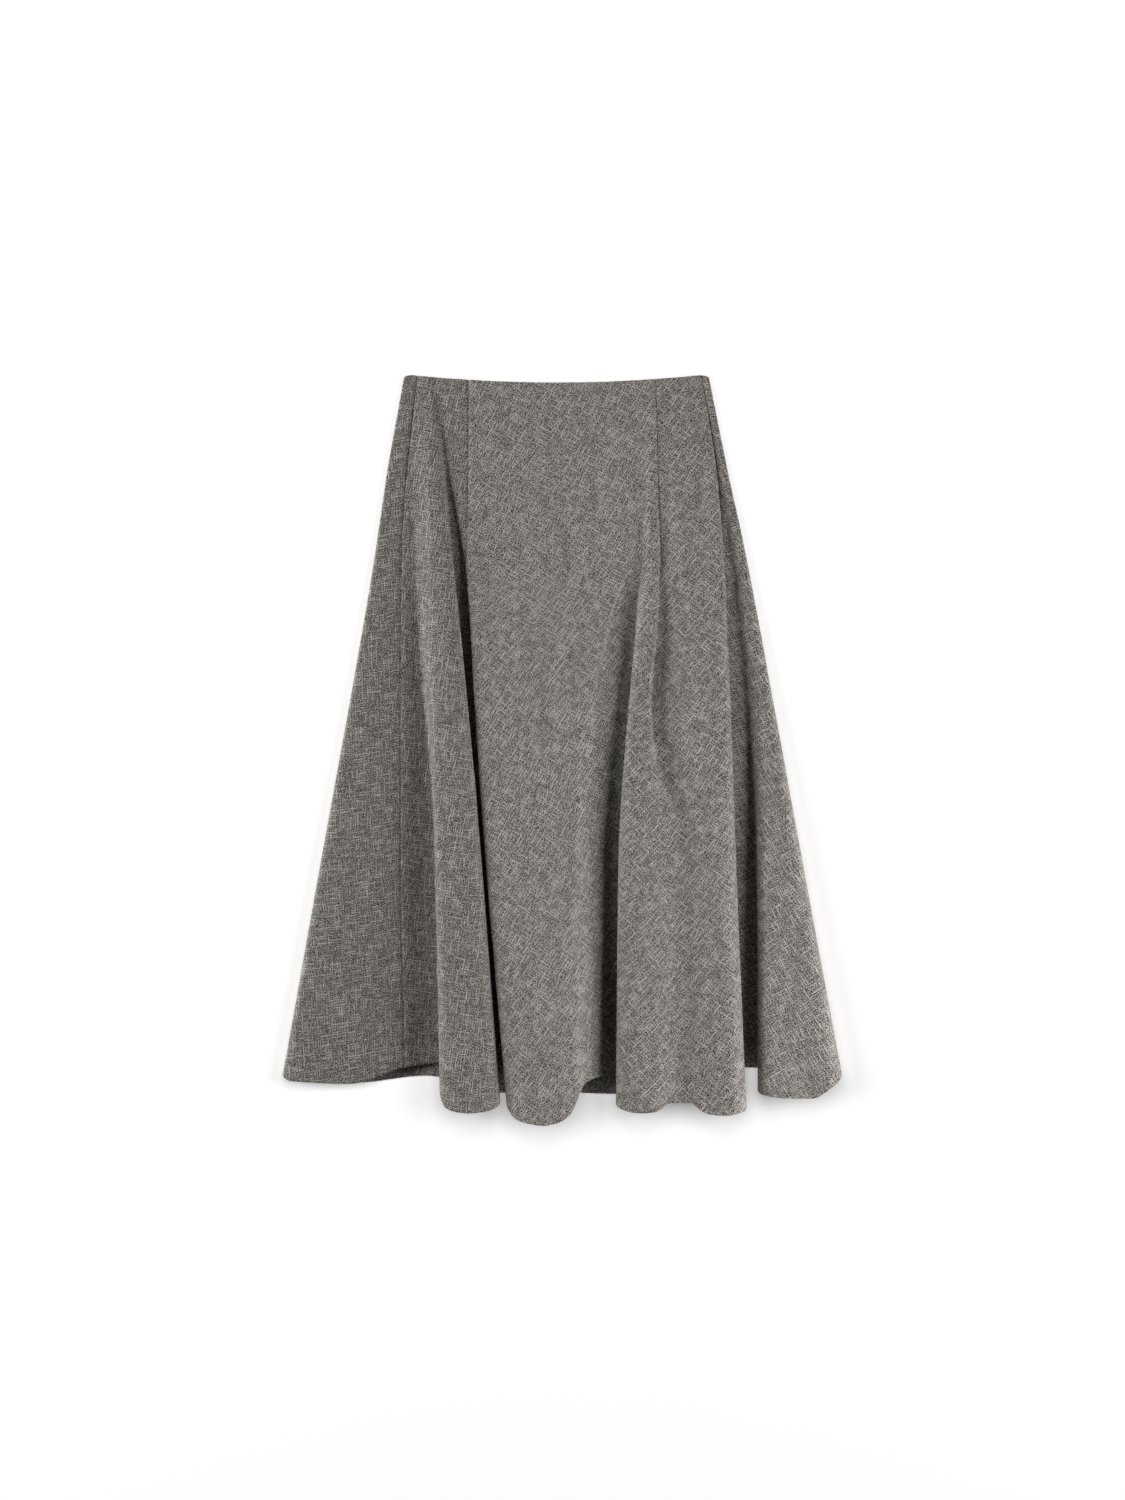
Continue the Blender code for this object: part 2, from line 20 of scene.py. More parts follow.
import bpy
import numpy as np
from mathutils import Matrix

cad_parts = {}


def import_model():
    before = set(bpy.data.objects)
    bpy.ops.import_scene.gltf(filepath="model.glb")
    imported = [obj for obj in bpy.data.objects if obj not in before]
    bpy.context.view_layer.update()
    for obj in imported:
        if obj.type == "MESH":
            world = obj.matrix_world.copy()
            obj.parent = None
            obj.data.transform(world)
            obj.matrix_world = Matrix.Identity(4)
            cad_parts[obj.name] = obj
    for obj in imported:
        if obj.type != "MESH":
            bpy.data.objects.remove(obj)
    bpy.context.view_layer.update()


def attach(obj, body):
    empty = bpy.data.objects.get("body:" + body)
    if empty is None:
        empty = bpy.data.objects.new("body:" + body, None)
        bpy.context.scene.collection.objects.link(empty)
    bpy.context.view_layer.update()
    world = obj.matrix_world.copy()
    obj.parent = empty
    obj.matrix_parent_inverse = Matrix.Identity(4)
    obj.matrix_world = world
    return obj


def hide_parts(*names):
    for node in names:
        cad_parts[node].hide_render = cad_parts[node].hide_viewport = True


LOG = logging.getLogger("skirt")
MM = 0.001  # metres
TINY = 1e-9  # keeps a division from zero
SHORTEST = 1e-6  # millimetres, the shortest step that is told apart
FRAME_SHIFT = np.array([1.0004, 402.7703, 0.0])  # from the tables to the frame, in millimetres


class Seam(Enum):
    """The seams, from the centre back round the left side, the front and the right side."""

    BACK_FROM_LEFT = "centre back, left"
    LEFT_SIDE = "left side"
    LEFT_GODET_LEFT = "left godet, left"
    LEFT_GODET_RIGHT = "left godet, right"
    RIGHT_GODET_LEFT = "right godet, left"
    RIGHT_GODET_RIGHT = "right godet, right"
    RIGHT_SIDE = "right side"
    BACK_FROM_RIGHT = "centre back, right"


class Fold(Enum):
    """The raised folds of the front, from left to right."""

    LEFT = "left"
    CENTRE = "centre"
    INNER_RIGHT = "inner right"
    OUTER_RIGHT = "outer right"


class Ridge(NamedTuple):
    """One row of a fold: where its sides stand, its height, and how far its feet lie under it."""

    share: float
    left: float
    right: float
    height: float
    tuck_left: float
    tuck_right: float


class Side(NamedTuple):
    """One row of the left edge of the skirt."""

    share: float
    edge: float
    height: float


class Flank(NamedTuple):
    """One row of the right edge of the skirt and of the slope that rises to it."""

    share: float
    left: float
    edge: float
    height: float
    tuck_left: float


class Floor(NamedTuple):
    """One row of the heights of the cloth in the valleys between the folds."""

    share: float
    side_left: float
    left: float
    right: float
    dip: float
    side_right: float


class Hem(NamedTuple):
    """How far down the hem lies at the feet, the sides and the crest of a fold."""

    foot_left: float
    left: float
    crest: float
    right: float
    foot_right: float


class Offset(NamedTuple):
    """How far along the cloth a seam lies from the edge of a fold."""

    share: float
    along: float


class Crease(NamedTuple):
    """A soft trough, or a ridge where its depth is negative, between two places on one panel."""

    panel: str
    x0: float
    drop0: float
    x1: float
    drop1: float
    depth: float
    width: float


def smooth_through(knots: np.ndarray, values: np.ndarray, wanted: np.ndarray) -> np.ndarray:
    """Values on a smooth curve that rises and falls only where its knots do.

    Args:
        knots: Rising places at which the values are known.
        values: The values at the knots.
        wanted: The places to read the curve at.

    Returns:
        The curve's values at the wanted places.
    """
    step = np.diff(knots)
    slope = np.diff(values) / step
    tangent = np.zeros(len(knots))
    tangent[0] = slope[0]
    tangent[-1] = slope[-1]
    for i in range(1, len(knots) - 1):
        if slope[i - 1] * slope[i] > 0:
            before = 2 * step[i] + step[i - 1]
            after = step[i] + 2 * step[i - 1]
            tangent[i] = (before + after) / (before / slope[i - 1] + after / slope[i])
    wanted = np.clip(wanted, knots[0], knots[-1])
    i = np.clip(np.searchsorted(knots, wanted, side="right") - 1, 0, len(step) - 1)
    part = (wanted - knots[i]) / step[i]
    return hermite(values[i], values[i + 1], tangent[i], tangent[i + 1], step[i], part)


def hermite(
    start: np.ndarray,
    end: np.ndarray,
    start_tangent: np.ndarray,
    end_tangent: np.ndarray,
    length: np.ndarray,
    part: np.ndarray,
) -> np.ndarray:
    """A cubic between two values with the given slopes.

    Args:
        start: Value at the start.
        end: Value at the end.
        start_tangent: Slope at the start.
        end_tangent: Slope at the end.
        length: Distance between the two.
        part: Part of that distance to read the cubic at, from 0 to 1.

    Returns:
        The cubic's values.
    """
    square = part * part
    cube = square * part
    return (
        (2 * cube - 3 * square + 1) * start
        + (cube - 2 * square + part) * length * start_tangent
        + (3 * square - 2 * cube) * end
        + (cube - square) * length * end_tangent
    )


def along(table: Sequence[NamedTuple], share: float, column: str) -> float:
    """One column of a table at a share of the length.

    Args:
        table: Rows of one kind, in the order of their shares.
        share: The share to read at.
        column: Name of the column.

    Returns:
        The column's value there.
    """
    shares = np.array([row.share for row in table], float)
    values = np.array([getattr(row, column) for row in table], float)
    return float(smooth_through(shares, values, np.array([share]))[0])


def smooth_step(low: float, high: float, value: np.ndarray) -> np.ndarray:
    """0 below low, 1 above high, and a soft rise between them."""
    part = np.clip((value - low) / (high - low), 0, 1)
    return part * part * (3 - 2 * part)


def rows_of(kind: type, *values: Sequence[float]) -> tuple:
    """Table rows of one kind."""
    return tuple(kind(*row) for row in values)


def running_total(steps: np.ndarray) -> np.ndarray:
    """Running total of a row of steps, starting at 0."""
    return np.concatenate([[0], np.cumsum(steps)])


@dataclass(frozen=True)
class SkirtForm:
    """The measured shape of the skirt, as tables with a row for each height."""

    rest_height: float = 0.75
    left_edge_lean: float = 0.75
    right_edge_lean: float = 0.6
    tightest_edge: float = 1.9
    fold_radius: float = 3.2
    steepest_fold: float = 0.21
    full_tuck: float = 8.0
    face_begins: float = 0.9  # height at which a fold's face begins, of its rise
    flank_edge: float = 0.57  # height at which a fold's side stands, of its rise
    foot_spread: float = 0.15
    shoulder: float = 0.25  # length of a right shoulder, of its height
    shoulder_by_spread: float = 0.3  # and of how far the foot lies outside the fold
    widest_shoulder: float = 0.3  # of the fold's width
    shoulder_hem: float = 0.75  # how near the hem at a shoulder is to that of the crest
    face_parts: tuple = (0.0, 0.25, 0.5, 0.75, 1.0)
    slope_rise: float = 0.85  # height of the right slope's shoulder, of the edge's
    slope_spread: float = 0.6
    slope_climb: float = 0.25
    slope_hem: float = 0.6
    slope_parts: tuple = (0.35, 0.7)
    left_slope: tuple = ((0.4, 0.08), (0.75, 0.04))  # part of the way to the first fold, and sag
    left_roll_hem: float = 2.0  # how much lower the hem lies on the outside of the rolled edge
    right_roll_hem: float = 6.0
    leans: dict = field(default_factory=lambda: {  # rise of a fold's face to the right, of its height
        Fold.LEFT: 0.05,
        Fold.CENTRE: 0.15,
        Fold.INNER_RIGHT: 0.0,
        Fold.OUTER_RIGHT: 0.19,
    })
    left_shoulders: dict = field(default_factory=lambda: {  # length of the left shoulder, of its height
        Fold.LEFT: 0.16,
        Fold.CENTRE: 0.25,
        Fold.INNER_RIGHT: 0.25,
        Fold.OUTER_RIGHT: 0.25,
    })
    waist_middle: float = -7.7
    waist_half_width: float = 166.5
    waist_dip: float = 8.8
    corner_begins: float = 0.95
    corner_drop: float = 2.8
    back_waist_drop: float = 1.0
    godet_apex: float = 0.25
    godet_width: float = 100.0
    centre_back_waist: float = -7.0
    centre_back_hem: float = 0.0
    centre_back_drop: float = 779.0
    ridges: dict = field(default_factory=lambda: {
        Fold.LEFT: rows_of(
            Ridge,
            (0.00, -153, -145, 5.0, -5, -4),
            (0.12, -153, -134.5, 11.0, -11, -3),
            (0.25, -150, -122, 18.5, -12, 3),
            (0.45, -146, -105.5, 27.0, -6, 16),
            (0.67, -140, -90, 36.0, 1, 28),
            (1.00, -134, -70, 44.0, 3, 42),
        ),
        Fold.CENTRE: rows_of(
            Ridge,
            (0.00, -134, 80, 4.5, -4, -4),
            (0.12, -124.5, 80, 5.5, -3, -4),
            (0.25, -107, 71, 11.0, -2, -8),
            (0.34, -101, 54, 16.0, 4, -16),
            (0.45, -96.5, 39, 22.0, 13, -30),
            (0.67, -84, 26, 34.0, 22, -28),
            (1.00, -61, 25, 46.0, 32, -25),
        ),
        Fold.INNER_RIGHT: rows_of(
            Ridge,
            (0.00, 93.5, 101, 4.5, -4, -4),
            (0.12, 92.5, 102.5, 5.5, -4, -4),
            (0.25, 92, 105.5, 11.0, -5, -2),
            (0.34, 82, 103, 18.0, 0, 1),
            (0.45, 73, 95.5, 24.0, 12, 1),
            (0.67, 61.5, 109, 34.0, 34, -18),
            (1.00, 59, 111, 41.5, 45, -12),
        ),
        Fold.OUTER_RIGHT: rows_of(
            Ridge,
            (0.00, 120, 150, 4.5, -4, -2),
            (0.12, 120, 165, 8.0, -5, -2),
            (0.25, 123, 176, 14.0, -8, 2),
            (0.34, 124, 179, 18.0, -12, 5),
            (0.45, 124, 183, 24.0, -14, 12),
            (0.67, 151, 189, 35.0, -14, 18),
            (1.00, 151, 200, 44.0, -15, 22),
        ),
    })
    hems: dict = field(default_factory=lambda: {
        Fold.LEFT: Hem(747, 778, 800, 788, 765),
        Fold.CENTRE: Hem(762, 789, 813.5, 767, 761),
        Fold.INNER_RIGHT: Hem(763, 790, 800, 792, 789.5),
        Fold.OUTER_RIGHT: Hem(789.5, 797.5, 802.5, 796, 752),
    })
    right_side_hem: Hem = Hem(748, 777, 784.5, 772, 759)
    left_side_hem: Hem = Hem(761, 766, 769.5, 752, 744)
    left_side: tuple = rows_of(
        Side,
        (0.00, -174, 4.5),
        (0.12, -190.5, 5.5),
        (0.25, -205.5, 7.5),
        (0.45, -231.5, 11.0),
        (0.67, -262, 15.0),
        (1.00, -307, 18.0),
    )
    right_side: tuple = rows_of(
        Flank,
        (0.00, 155, 159.5, 4.5, -1),
        (0.12, 173, 178, 5.2, -2),
        (0.25, 189, 199.5, 9.0, -6),
        (0.45, 208, 228, 17.0, -8),
        (0.67, 213.5, 258.5, 27.0, -1),
        (1.00, 214.5, 305, 36.0, 6),
    )
    floors: tuple = rows_of(
        Floor,
        (0.00, 4.5, 4.5, 4.5, 4.5, 4.5),
        (0.12, 4.5, 2.8, 4.5, 4.8, 4.3),
        (0.25, 4.4, 3.1, 5.5, 7.0, 4.0),
        (0.45, 4.2, 3.6, 4.2, 12.0, 3.8),
        (0.67, 4.0, 3.5, 3.8, 23.5, 3.6),
        (1.00, 4.0, 3.5, 3.6, 30.5, 3.5),
    )
    beside: dict = field(default_factory=lambda: {  # the valleys left and right of each fold
        Fold.LEFT: ("side_left", "left"),
        Fold.CENTRE: ("left", "right"),
        Fold.INNER_RIGHT: ("right", "dip"),
        Fold.OUTER_RIGHT: ("dip", "side_right"),
    })
    back_left: tuple = ((0.22, 780), (0.50, 761), (0.76, 769))  # part of the half width, hem drop
    back_right: tuple = ((0.19, 781), (0.42, 772), (0.68, 752))
    left_side_seam: tuple = rows_of(
        Offset,
        (0.00, -160),
        (0.12, -170.5),
        (0.25, -177.5),
        (0.45, -178.5),
        (0.67, -178.5),
        (1.00, -174),
    )
    left_front_seam: tuple = rows_of(Offset, (0.00, -104), (0.12, -104.5), (0.25, -106.5))
    right_front_seam: tuple = rows_of(Offset, (0.00, 102), (0.12, 104.5), (0.25, 107))
    left_godet_seam: tuple = rows_of(Offset, (0.35, -16), (0.45, -32), (0.67, -50), (1.00, -66))
    right_godet_seam: tuple = rows_of(Offset, (0.45, 2), (0.67, 4), (1.00, 10))
    right_side_seam: tuple = rows_of(Offset, (0.00, 2), (0.25, 5), (0.45, 12), (1.00, 26))

    def foot(self, edge: float, tuck: float, floor: float, rise: float, outward: int) -> list[tuple]:
        """Three points from the side of a fold to the floor beside it.

        Args:
            edge: Where the side of the fold stands.
            tuck: How far the foot lies under the fold, or outside it where negative.
            floor: Height of the floor beside the fold.
            rise: Height of the fold above that floor.
            outward: -1 for a left foot and 1 for a right one.

        Returns:
            Points (x, height), from the side down to the floor.
        """
        tip = edge - outward * tuck
        radius = min(self.fold_radius, self.steepest_fold * rise)
        if tuck > 0:
            part = min(tuck / self.full_tuck, 1.0)
            side = math.radians(180 - 90 * part * part * (3 - 2 * part))
            bottom = math.radians(270)
            points = []
            for angle in (side, (side + bottom) / 2, bottom):
                x = tip + outward * radius * (1 + math.cos(angle))
                points.append((x, floor + radius * (1 + math.sin(angle))))
            return points
        climb = self.flank_edge * rise
        length = max(math.hypot(tuck, climb), SHORTEST)
        spread = radius - self.foot_spread * tuck
        reach = min(spread, 0.5 * length)
        upper = (tip + outward * reach * tuck / length, floor + reach * climb / length)
        lower = (tip + outward * spread, floor)
        # The middle of a quadratic curve from upper to lower that turns at the tip of the foot.
        turn = (0.25 * upper[0] + 0.5 * tip + 0.25 * lower[0], 0.75 * floor + 0.25 * upper[1])
        return [upper, turn, lower]

    def ridge_points(self, fold: Fold, share: float, floor_left: float, floor_right: float) -> list[tuple]:
        """Points over one fold, from its left foot to its right foot.

        Args:
            fold: The fold.
            share: The share of the section.
            floor_left: Height of the floor left of the fold.
            floor_right: Height of the floor right of it.

        Returns:
            Points (x, height, hem drop).
        """
        hem = self.hems[fold]
        row = {name: along(self.ridges[fold], share, name) for name in Ridge._fields[1:]}
        left = row["left"]
        right = row["right"]
        height = row["height"]
        rise_left = height - floor_left
        rise_right = height - floor_right
        widest = self.widest_shoulder * (right - left)
        spread_left = self.shoulder_by_spread * max(0.0, -row["tuck_left"])
        spread_right = self.shoulder_by_spread * max(0.0, -row["tuck_right"])
        round_left = min(widest, self.left_shoulders[fold] * rise_left + spread_left)
        round_right = min(widest, self.shoulder * rise_right + spread_right)
        near = self.shoulder_hem
        start = (
            left + round_left,
            floor_left + self.face_begins * rise_left,
            near * hem.crest + (1 - near) * hem.left,
        )
        end = (
            right - round_right,
            floor_right + self.face_begins * rise_right,
            near * hem.crest + (1 - near) * hem.right,
        )
        left_foot = self.foot(left, row["tuck_left"], floor_left, rise_left, -1)
        right_foot = self.foot(right, row["tuck_right"], floor_right, rise_right, 1)
        points = [(x, z, hem.foot_left) for x, z in reversed(left_foot)]
        points.append((left, floor_left + self.flank_edge * rise_left, hem.left))
        for part in self.face_parts:
            crown = 4 * part * (1 - part)  # 0 at both shoulders, 1 between them
            x = start[0] + part * (end[0] - start[0])
            z = start[1] + part * (end[1] - start[1])
            drop = start[2] + part * (end[2] - start[2])
            tilt = self.leans[fold] * (part - 0.5) * rise_right
            points.append((x, z + crown * (height - z) + tilt, drop + crown * (hem.crest - drop)))
        points.append((right, floor_right + self.flank_edge * rise_right, hem.right))
        points += [(x, z, hem.foot_right) for x, z in right_foot]
        return points

    def rolled_edge(
        self, edge: float, height: float, lean: float, inward: int, drops: Sequence[float]
    ) -> list[tuple]:
        """Five points round a side edge, from where the back leaves the surface to the crest.

        Args:
            edge: Where the edge lies farthest out.
            height: Height of its crest.
            lean: Half its width, of half its height.
            inward: 1 for the left edge and -1 for the right one.
            drops: Hem drops of the five points.

        Returns:
            Points (x, height, hem drop).
        """
        half_height = (height - self.rest_height) / 2
        half_width = max(self.tightest_edge, lean * half_height)
        points = []
        for i, drop in enumerate(drops):
            angle = math.radians(-90 + 45 * i)
            x = edge + inward * half_width * (1 - math.cos(angle))
            points.append((x, self.rest_height + half_height * (1 + math.sin(angle)), drop))
        return points

    def left_roll(self, share: float) -> list[tuple]:
        """Points round the left edge.

        Args:
            share: Share of the length.

        Returns:
            Points (x, height, hem drop), from the floor up.
        """
        hem = self.left_side_hem
        drops = (hem.foot_left,) * 3 + (hem.foot_left + self.left_roll_hem, hem.left)
        edge = along(self.left_side, share, "edge")
        return self.rolled_edge(edge, along(self.left_side, share, "height"), self.left_edge_lean, 1, drops)

    def right_roll(self, share: float) -> list[tuple]:
        """Points round the right edge.

        Args:
            share: Share of the length.

        Returns:
            Points (x, height, hem drop), from the floor up.
        """
        hem = self.right_side_hem
        drops = (hem.foot_right,) * 3 + (hem.foot_right + self.right_roll_hem, hem.right)
        edge = along(self.right_side, share, "edge")
        height = along(self.right_side, share, "height")
        return self.rolled_edge(edge, height, self.right_edge_lean, -1, drops)

    def right_slope(self, share: float, floor: float, crest: tuple) -> list[tuple]:
        """Points from the recess beside the outer fold up to the crest of the right edge.

        Args:
            share: The share of the section.
            floor: Height of the floor in the recess.
            crest: The crest of the right edge, as x, height and hem drop.

        Returns:
            Points (x, height, hem drop), without the crest.
        """
        row = {name: along(self.right_side, share, name) for name in Flank._fields[1:]}
        left = row["left"]
        tuck = row["tuck_left"]
        rise = self.slope_rise * (row["height"] - floor)
        hem = self.right_side_hem
        points = [(x, z, hem.foot_left) for x, z in reversed(self.foot(left, tuck, floor, rise, -1))]
        points.append((left, floor + self.flank_edge * rise, hem.left))
        widest = self.widest_shoulder * (crest[0] - left)
        shoulder = left + min(widest, self.shoulder * rise + self.slope_spread * max(0.0, -tuck))
        drop = (1 - self.slope_hem) * hem.left + self.slope_hem * hem.crest
        points.append((shoulder, floor + self.face_begins * rise, drop))
        for part in self.slope_parts:
            x = shoulder + part * (crest[0] - shoulder)
            points.append((x, floor + rise * (self.face_begins + self.slope_climb * part), hem.crest))
        return points

    def back_points(self, centre: float, edge: float, table: Sequence[tuple]) -> list[tuple]:
        """Points of the back on the surface, from the centre back seam towards one edge."""
        return [(centre + part * (edge - centre), self.rest_height, drop) for part, drop in table]

    def section_points(self, share: float) -> tuple[np.ndarray, dict]:
        """All points of one section.

        Args:
            share: The share of the section.

        Returns:
            The points, as x, height and hem drop, and the place in them of each named point.
        """
        floors = {name: along(self.floors, share, name) for name in Floor._fields[1:]}
        centre_back = self.centre_back_waist + share * (self.centre_back_hem - self.centre_back_waist)
        seam = (centre_back, self.rest_height, self.centre_back_drop)
        left_roll = self.left_roll(share)
        right_roll = self.right_roll(share)
        folds = {
            fold: self.ridge_points(fold, share, floors[left], floors[right])
            for fold, (left, right) in self.beside.items()
        }
        places: dict = {}
        flat_ends = [0]
        points = [seam, *self.back_points(centre_back, left_roll[0][0], self.back_left), *left_roll]
        places["left_edge_crest"] = len(points) - 1
        crest = left_roll[-1]
        foot = folds[Fold.LEFT][0]
        hem = self.left_side_hem
        for (part, sag), drop in zip(self.left_slope, (hem.crest, hem.right)):
            x = crest[0] + part * (foot[0] - crest[0])
            points.append((x, crest[1] + (part - sag) * (foot[1] - crest[1]), drop))
        for fold, ridge in folds.items():
            flat_ends += [len(points), len(points) + len(ridge) - 1]
            places[fold, "foot"] = len(points)
            places[fold, "left"] = len(points) + 3
            points += ridge
            places[fold, "right"] = len(points) - 4
        flat_ends.append(len(points))
        points += self.right_slope(share, floors["side_right"], right_roll[-1])
        points += reversed(right_roll)
        points += reversed(self.back_points(centre_back, right_roll[0][0], self.back_right))
        points.append(seam)
        places["flat"] = flat_ends
        return np.array(points), places


class Section:
    """The curve of the cloth at one share of the length, measured along the cloth."""

    FINE = 16  # measured steps in each span between two points
    STEP = 3.4  # millimetres of flat cloth to a column of the mesh
    TURN = math.radians(9)  # bend of the cloth to a column of the mesh
    EVENED = 9  # measured steps over which the bend is evened out

    def __init__(self, form: SkirtForm, share: float) -> None:
        """Works out the curve, its lengths and how closely columns stand along it.

        Args:
            form: The shape of the skirt.
            share: The share of the length at which the section lies.
        """
        self.form = form
        self.share = share
        self.points, self.places = form.section_points(share)
        steps = np.linalg.norm(np.diff(self.points[:, :2], axis=0), axis=1)
        self.knots = running_total(np.sqrt(np.maximum(steps, SHORTEST)))
        self.tangents = self._tangents()
        self.fine = np.linspace(0, len(self.points) - 1, (len(self.points) - 1) * self.FINE + 1)
        self.curve = self.across(self.fine)
        along_curve = np.diff(self.curve, axis=0)
        lengths = np.linalg.norm(along_curve, axis=1)
        self.lengths = running_total(lengths)
        heading = np.unwrap(np.arctan2(along_curve[:, 1], along_curve[:, 0]))
        turn = np.abs(np.diff(heading, prepend=heading[0]))
        turn = np.convolve(turn, np.ones(self.EVENED) / self.EVENED, mode="same")
        self.crowding = running_total(lengths / self.STEP + turn / self.TURN)

    def _tangents(self) -> np.ndarray:
        """Slopes at the points of a curve that keeps close to them.

        Returns:
            A slope in x and in height for each point, level where the cloth lies flat.
        """
        flat = self.points[:, :2]
        step = np.diff(self.knots)[:, None]
        slope = np.diff(flat, axis=0) / step
        inner = slope[:-1] + slope[1:] - (flat[2:] - flat[:-2]) / (step[:-1] + step[1:])
        tangents = np.vstack([slope[:1], inner, slope[-1:]])
        tangents[self.points[:, 1] == self.form.rest_height, 1] = 0.0
        tangents[self.places["flat"], 1] = 0.0
        return tangents

    def across(self, place: np.ndarray) -> np.ndarray:
        """Points of the curve.

        Args:
            place: Places counted in points along the section.

        Returns:
            x and height at each place.
        """
        i = np.clip(np.floor(place).astype(int), 0, len(self.points) - 2)
        part = (place - i)[:, None]
        length = (self.knots[i + 1] - self.knots[i])[:, None]
        flat = self.points[:, :2]
        return hermite(flat[i], flat[i + 1], self.tangents[i], self.tangents[i + 1], length, part)

    def length_at(self, place: float) -> float:
        """Length of cloth from the centre back seam to a place."""
        return float(np.interp(place, self.fine, self.lengths))

    def length_where(self, x: float, first: int, last: int) -> float:
        """Length of cloth from the centre back seam to where the section crosses a line.

        Args:
            x: Where the line runs.
            first: The point after which the crossing lies.
            last: The point before which it lies.

        Returns:
            The length.
        """
        low = first * self.FINE
        high = last * self.FINE
        return float(np.interp(x, self.curve[low:high, 0], self.lengths[low:high]))

    def crowding_at(self, lengths: Sequence[float]) -> np.ndarray:
        """How many columns stand before each of some lengths."""
        return np.interp(lengths, self.lengths, self.crowding)

    def spread(self, left: float, right: float, count: int) -> np.ndarray:
        """Lengths of evenly crowded columns between two lengths, both included."""
        ends = self.crowding_at([left, right])
        return np.interp(np.linspace(ends[0], ends[1], count), self.crowding, self.lengths)


class Skirt:
    """The whole tube of cloth: its sections, its seams and points of its middle surface."""

    def __init__(self, form: SkirtForm) -> None:
        """Keeps the form and the section of the waist, which shapes the waist edge.

        Args:
            form: The form of the whole skirt.
        """
        self.form = form
        self.kept: dict[float, Section] = {}
        self.waist = self.section(0.0)
        self.hem_drops = self.waist.points[:, 2]

    def section(self, share: float) -> Section:
        """The section at a share, worked out once.

        Args:
            share: Share of the length.

        Returns:
            The section.
        """
        if share not in self.kept:
            self.kept[share] = Section(self.form, share)
        return self.kept[share]

    def seams(self, share: float) -> dict[Seam, float]:
        """Where each seam lies along the section.

        Args:
            share: The share of the section.

        Returns:
            For each seam the length of cloth from the centre back seam, round the left side.
        """
        form = self.form
        sect = self.section(share)
        left_side = sect.length_where(
            along(form.left_side_seam, share, "along"),
            sect.places["left_edge_crest"],
            sect.places[Fold.LEFT, "foot"],
        )
        right_side = sect.length_at(sect.places[Fold.OUTER_RIGHT, "right"])
        right_side += along(form.right_side_seam, share, "along")
        left = self._godet_seam(
            share,
            form.left_front_seam,
            (Fold.CENTRE, "left"),
            ((Fold.CENTRE, "foot"), (Fold.CENTRE, "right")),
            form.left_godet_seam,
        )
        right = self._godet_seam(
            share,
            form.right_front_seam,
            (Fold.INNER_RIGHT, "right"),
            ((Fold.INNER_RIGHT, "left"), (Fold.OUTER_RIGHT, "left")),
            form.right_godet_seam,
        )
        width = form.godet_width * max(0.0, (share - form.godet_apex) / (1 - form.godet_apex))
        return {
            Seam.BACK_FROM_LEFT: 0.0,
            Seam.LEFT_SIDE: left_side,
            Seam.LEFT_GODET_LEFT: left - width,
            Seam.LEFT_GODET_RIGHT: left,
            Seam.RIGHT_GODET_LEFT: right - width,
            Seam.RIGHT_GODET_RIGHT: right,
            Seam.RIGHT_SIDE: right_side,
            Seam.BACK_FROM_RIGHT: float(sect.lengths[-1]),
        }

    def _front_seam(self, share: float, table: Sequence[Offset], stretch: tuple) -> float:
        """Where a front seam lies above its godet.

        Args:
            share: The share of the section.
            table: x of the seam.
            stretch: Names of the points between which it lies.

        Returns:
            The length of cloth to the seam.
        """
        sect = self.section(share)
        first, last = (sect.places[name] for name in stretch)
        return sect.length_where(along(table, share, "along"), first, last)

    def _godet_seam(
        self, share: float, above: Sequence[Offset], edge: tuple, stretch: tuple, below: Sequence[Offset]
    ) -> float:
        """The right seam of a godet, and above the godet the front seam that it goes on from.

        Args:
            share: The share of the section.
            above: x of the front seam above the godet.
            edge: Name of the point from which the seam is measured beside the godet.
            stretch: Names of the points between which the front seam lies.
            below: Lengths of cloth from that point to the seam, beside the godet.

        Returns:
            The length of cloth from the centre back seam to the seam.
        """
        apex = self.form.godet_apex
        if share <= apex:
            return self._front_seam(share, above, stretch)
        start = self.section(apex)
        first = self._front_seam(apex, above, stretch) - start.length_at(start.places[edge])
        rows = (Offset(apex, first), *below)
        sect = self.section(share)
        return sect.length_at(sect.places[edge]) + along(rows, share, "along")

    def waist_drop(self, place: np.ndarray) -> np.ndarray:
        """How far the waist edge lies below the middle of the waist.

        Args:
            place: Places counted in points along the waist.

        Returns:
            The drop at each place.
        """
        form = self.form
        flat = self.waist.across(place)
        ratio = np.abs(flat[:, 0] - form.waist_middle) / form.waist_half_width
        corner = np.clip((ratio - form.corner_begins) / (1 - form.corner_begins), 0, 1)
        fullest = 2 * form.tightest_edge
        under = np.clip((fullest + form.rest_height - flat[:, 1]) / fullest, 0, 1)
        dip = -form.waist_dip * np.minimum(ratio, 1) ** 2
        return dip + form.corner_drop * corner**2 + form.back_waist_drop * under

    def points(self, sect: Section, lengths: np.ndarray) -> np.ndarray:
        """Points of the middle of the cloth.

        Args:
            sect: The section that they lie on.
            lengths: Lengths of cloth from the centre back seam.

        Returns:
            x, y and height of each point, in the tables' millimetres.
        """
        place = np.interp(lengths, sect.lengths, sect.fine)
        flat = sect.across(place)
        top = self.waist_drop(place)
        hem = smooth_through(np.arange(len(self.hem_drops), dtype=float), self.hem_drops, place)
        return np.column_stack([flat[:, 0], -(top + sect.share * (hem - top)), flat[:, 1]])


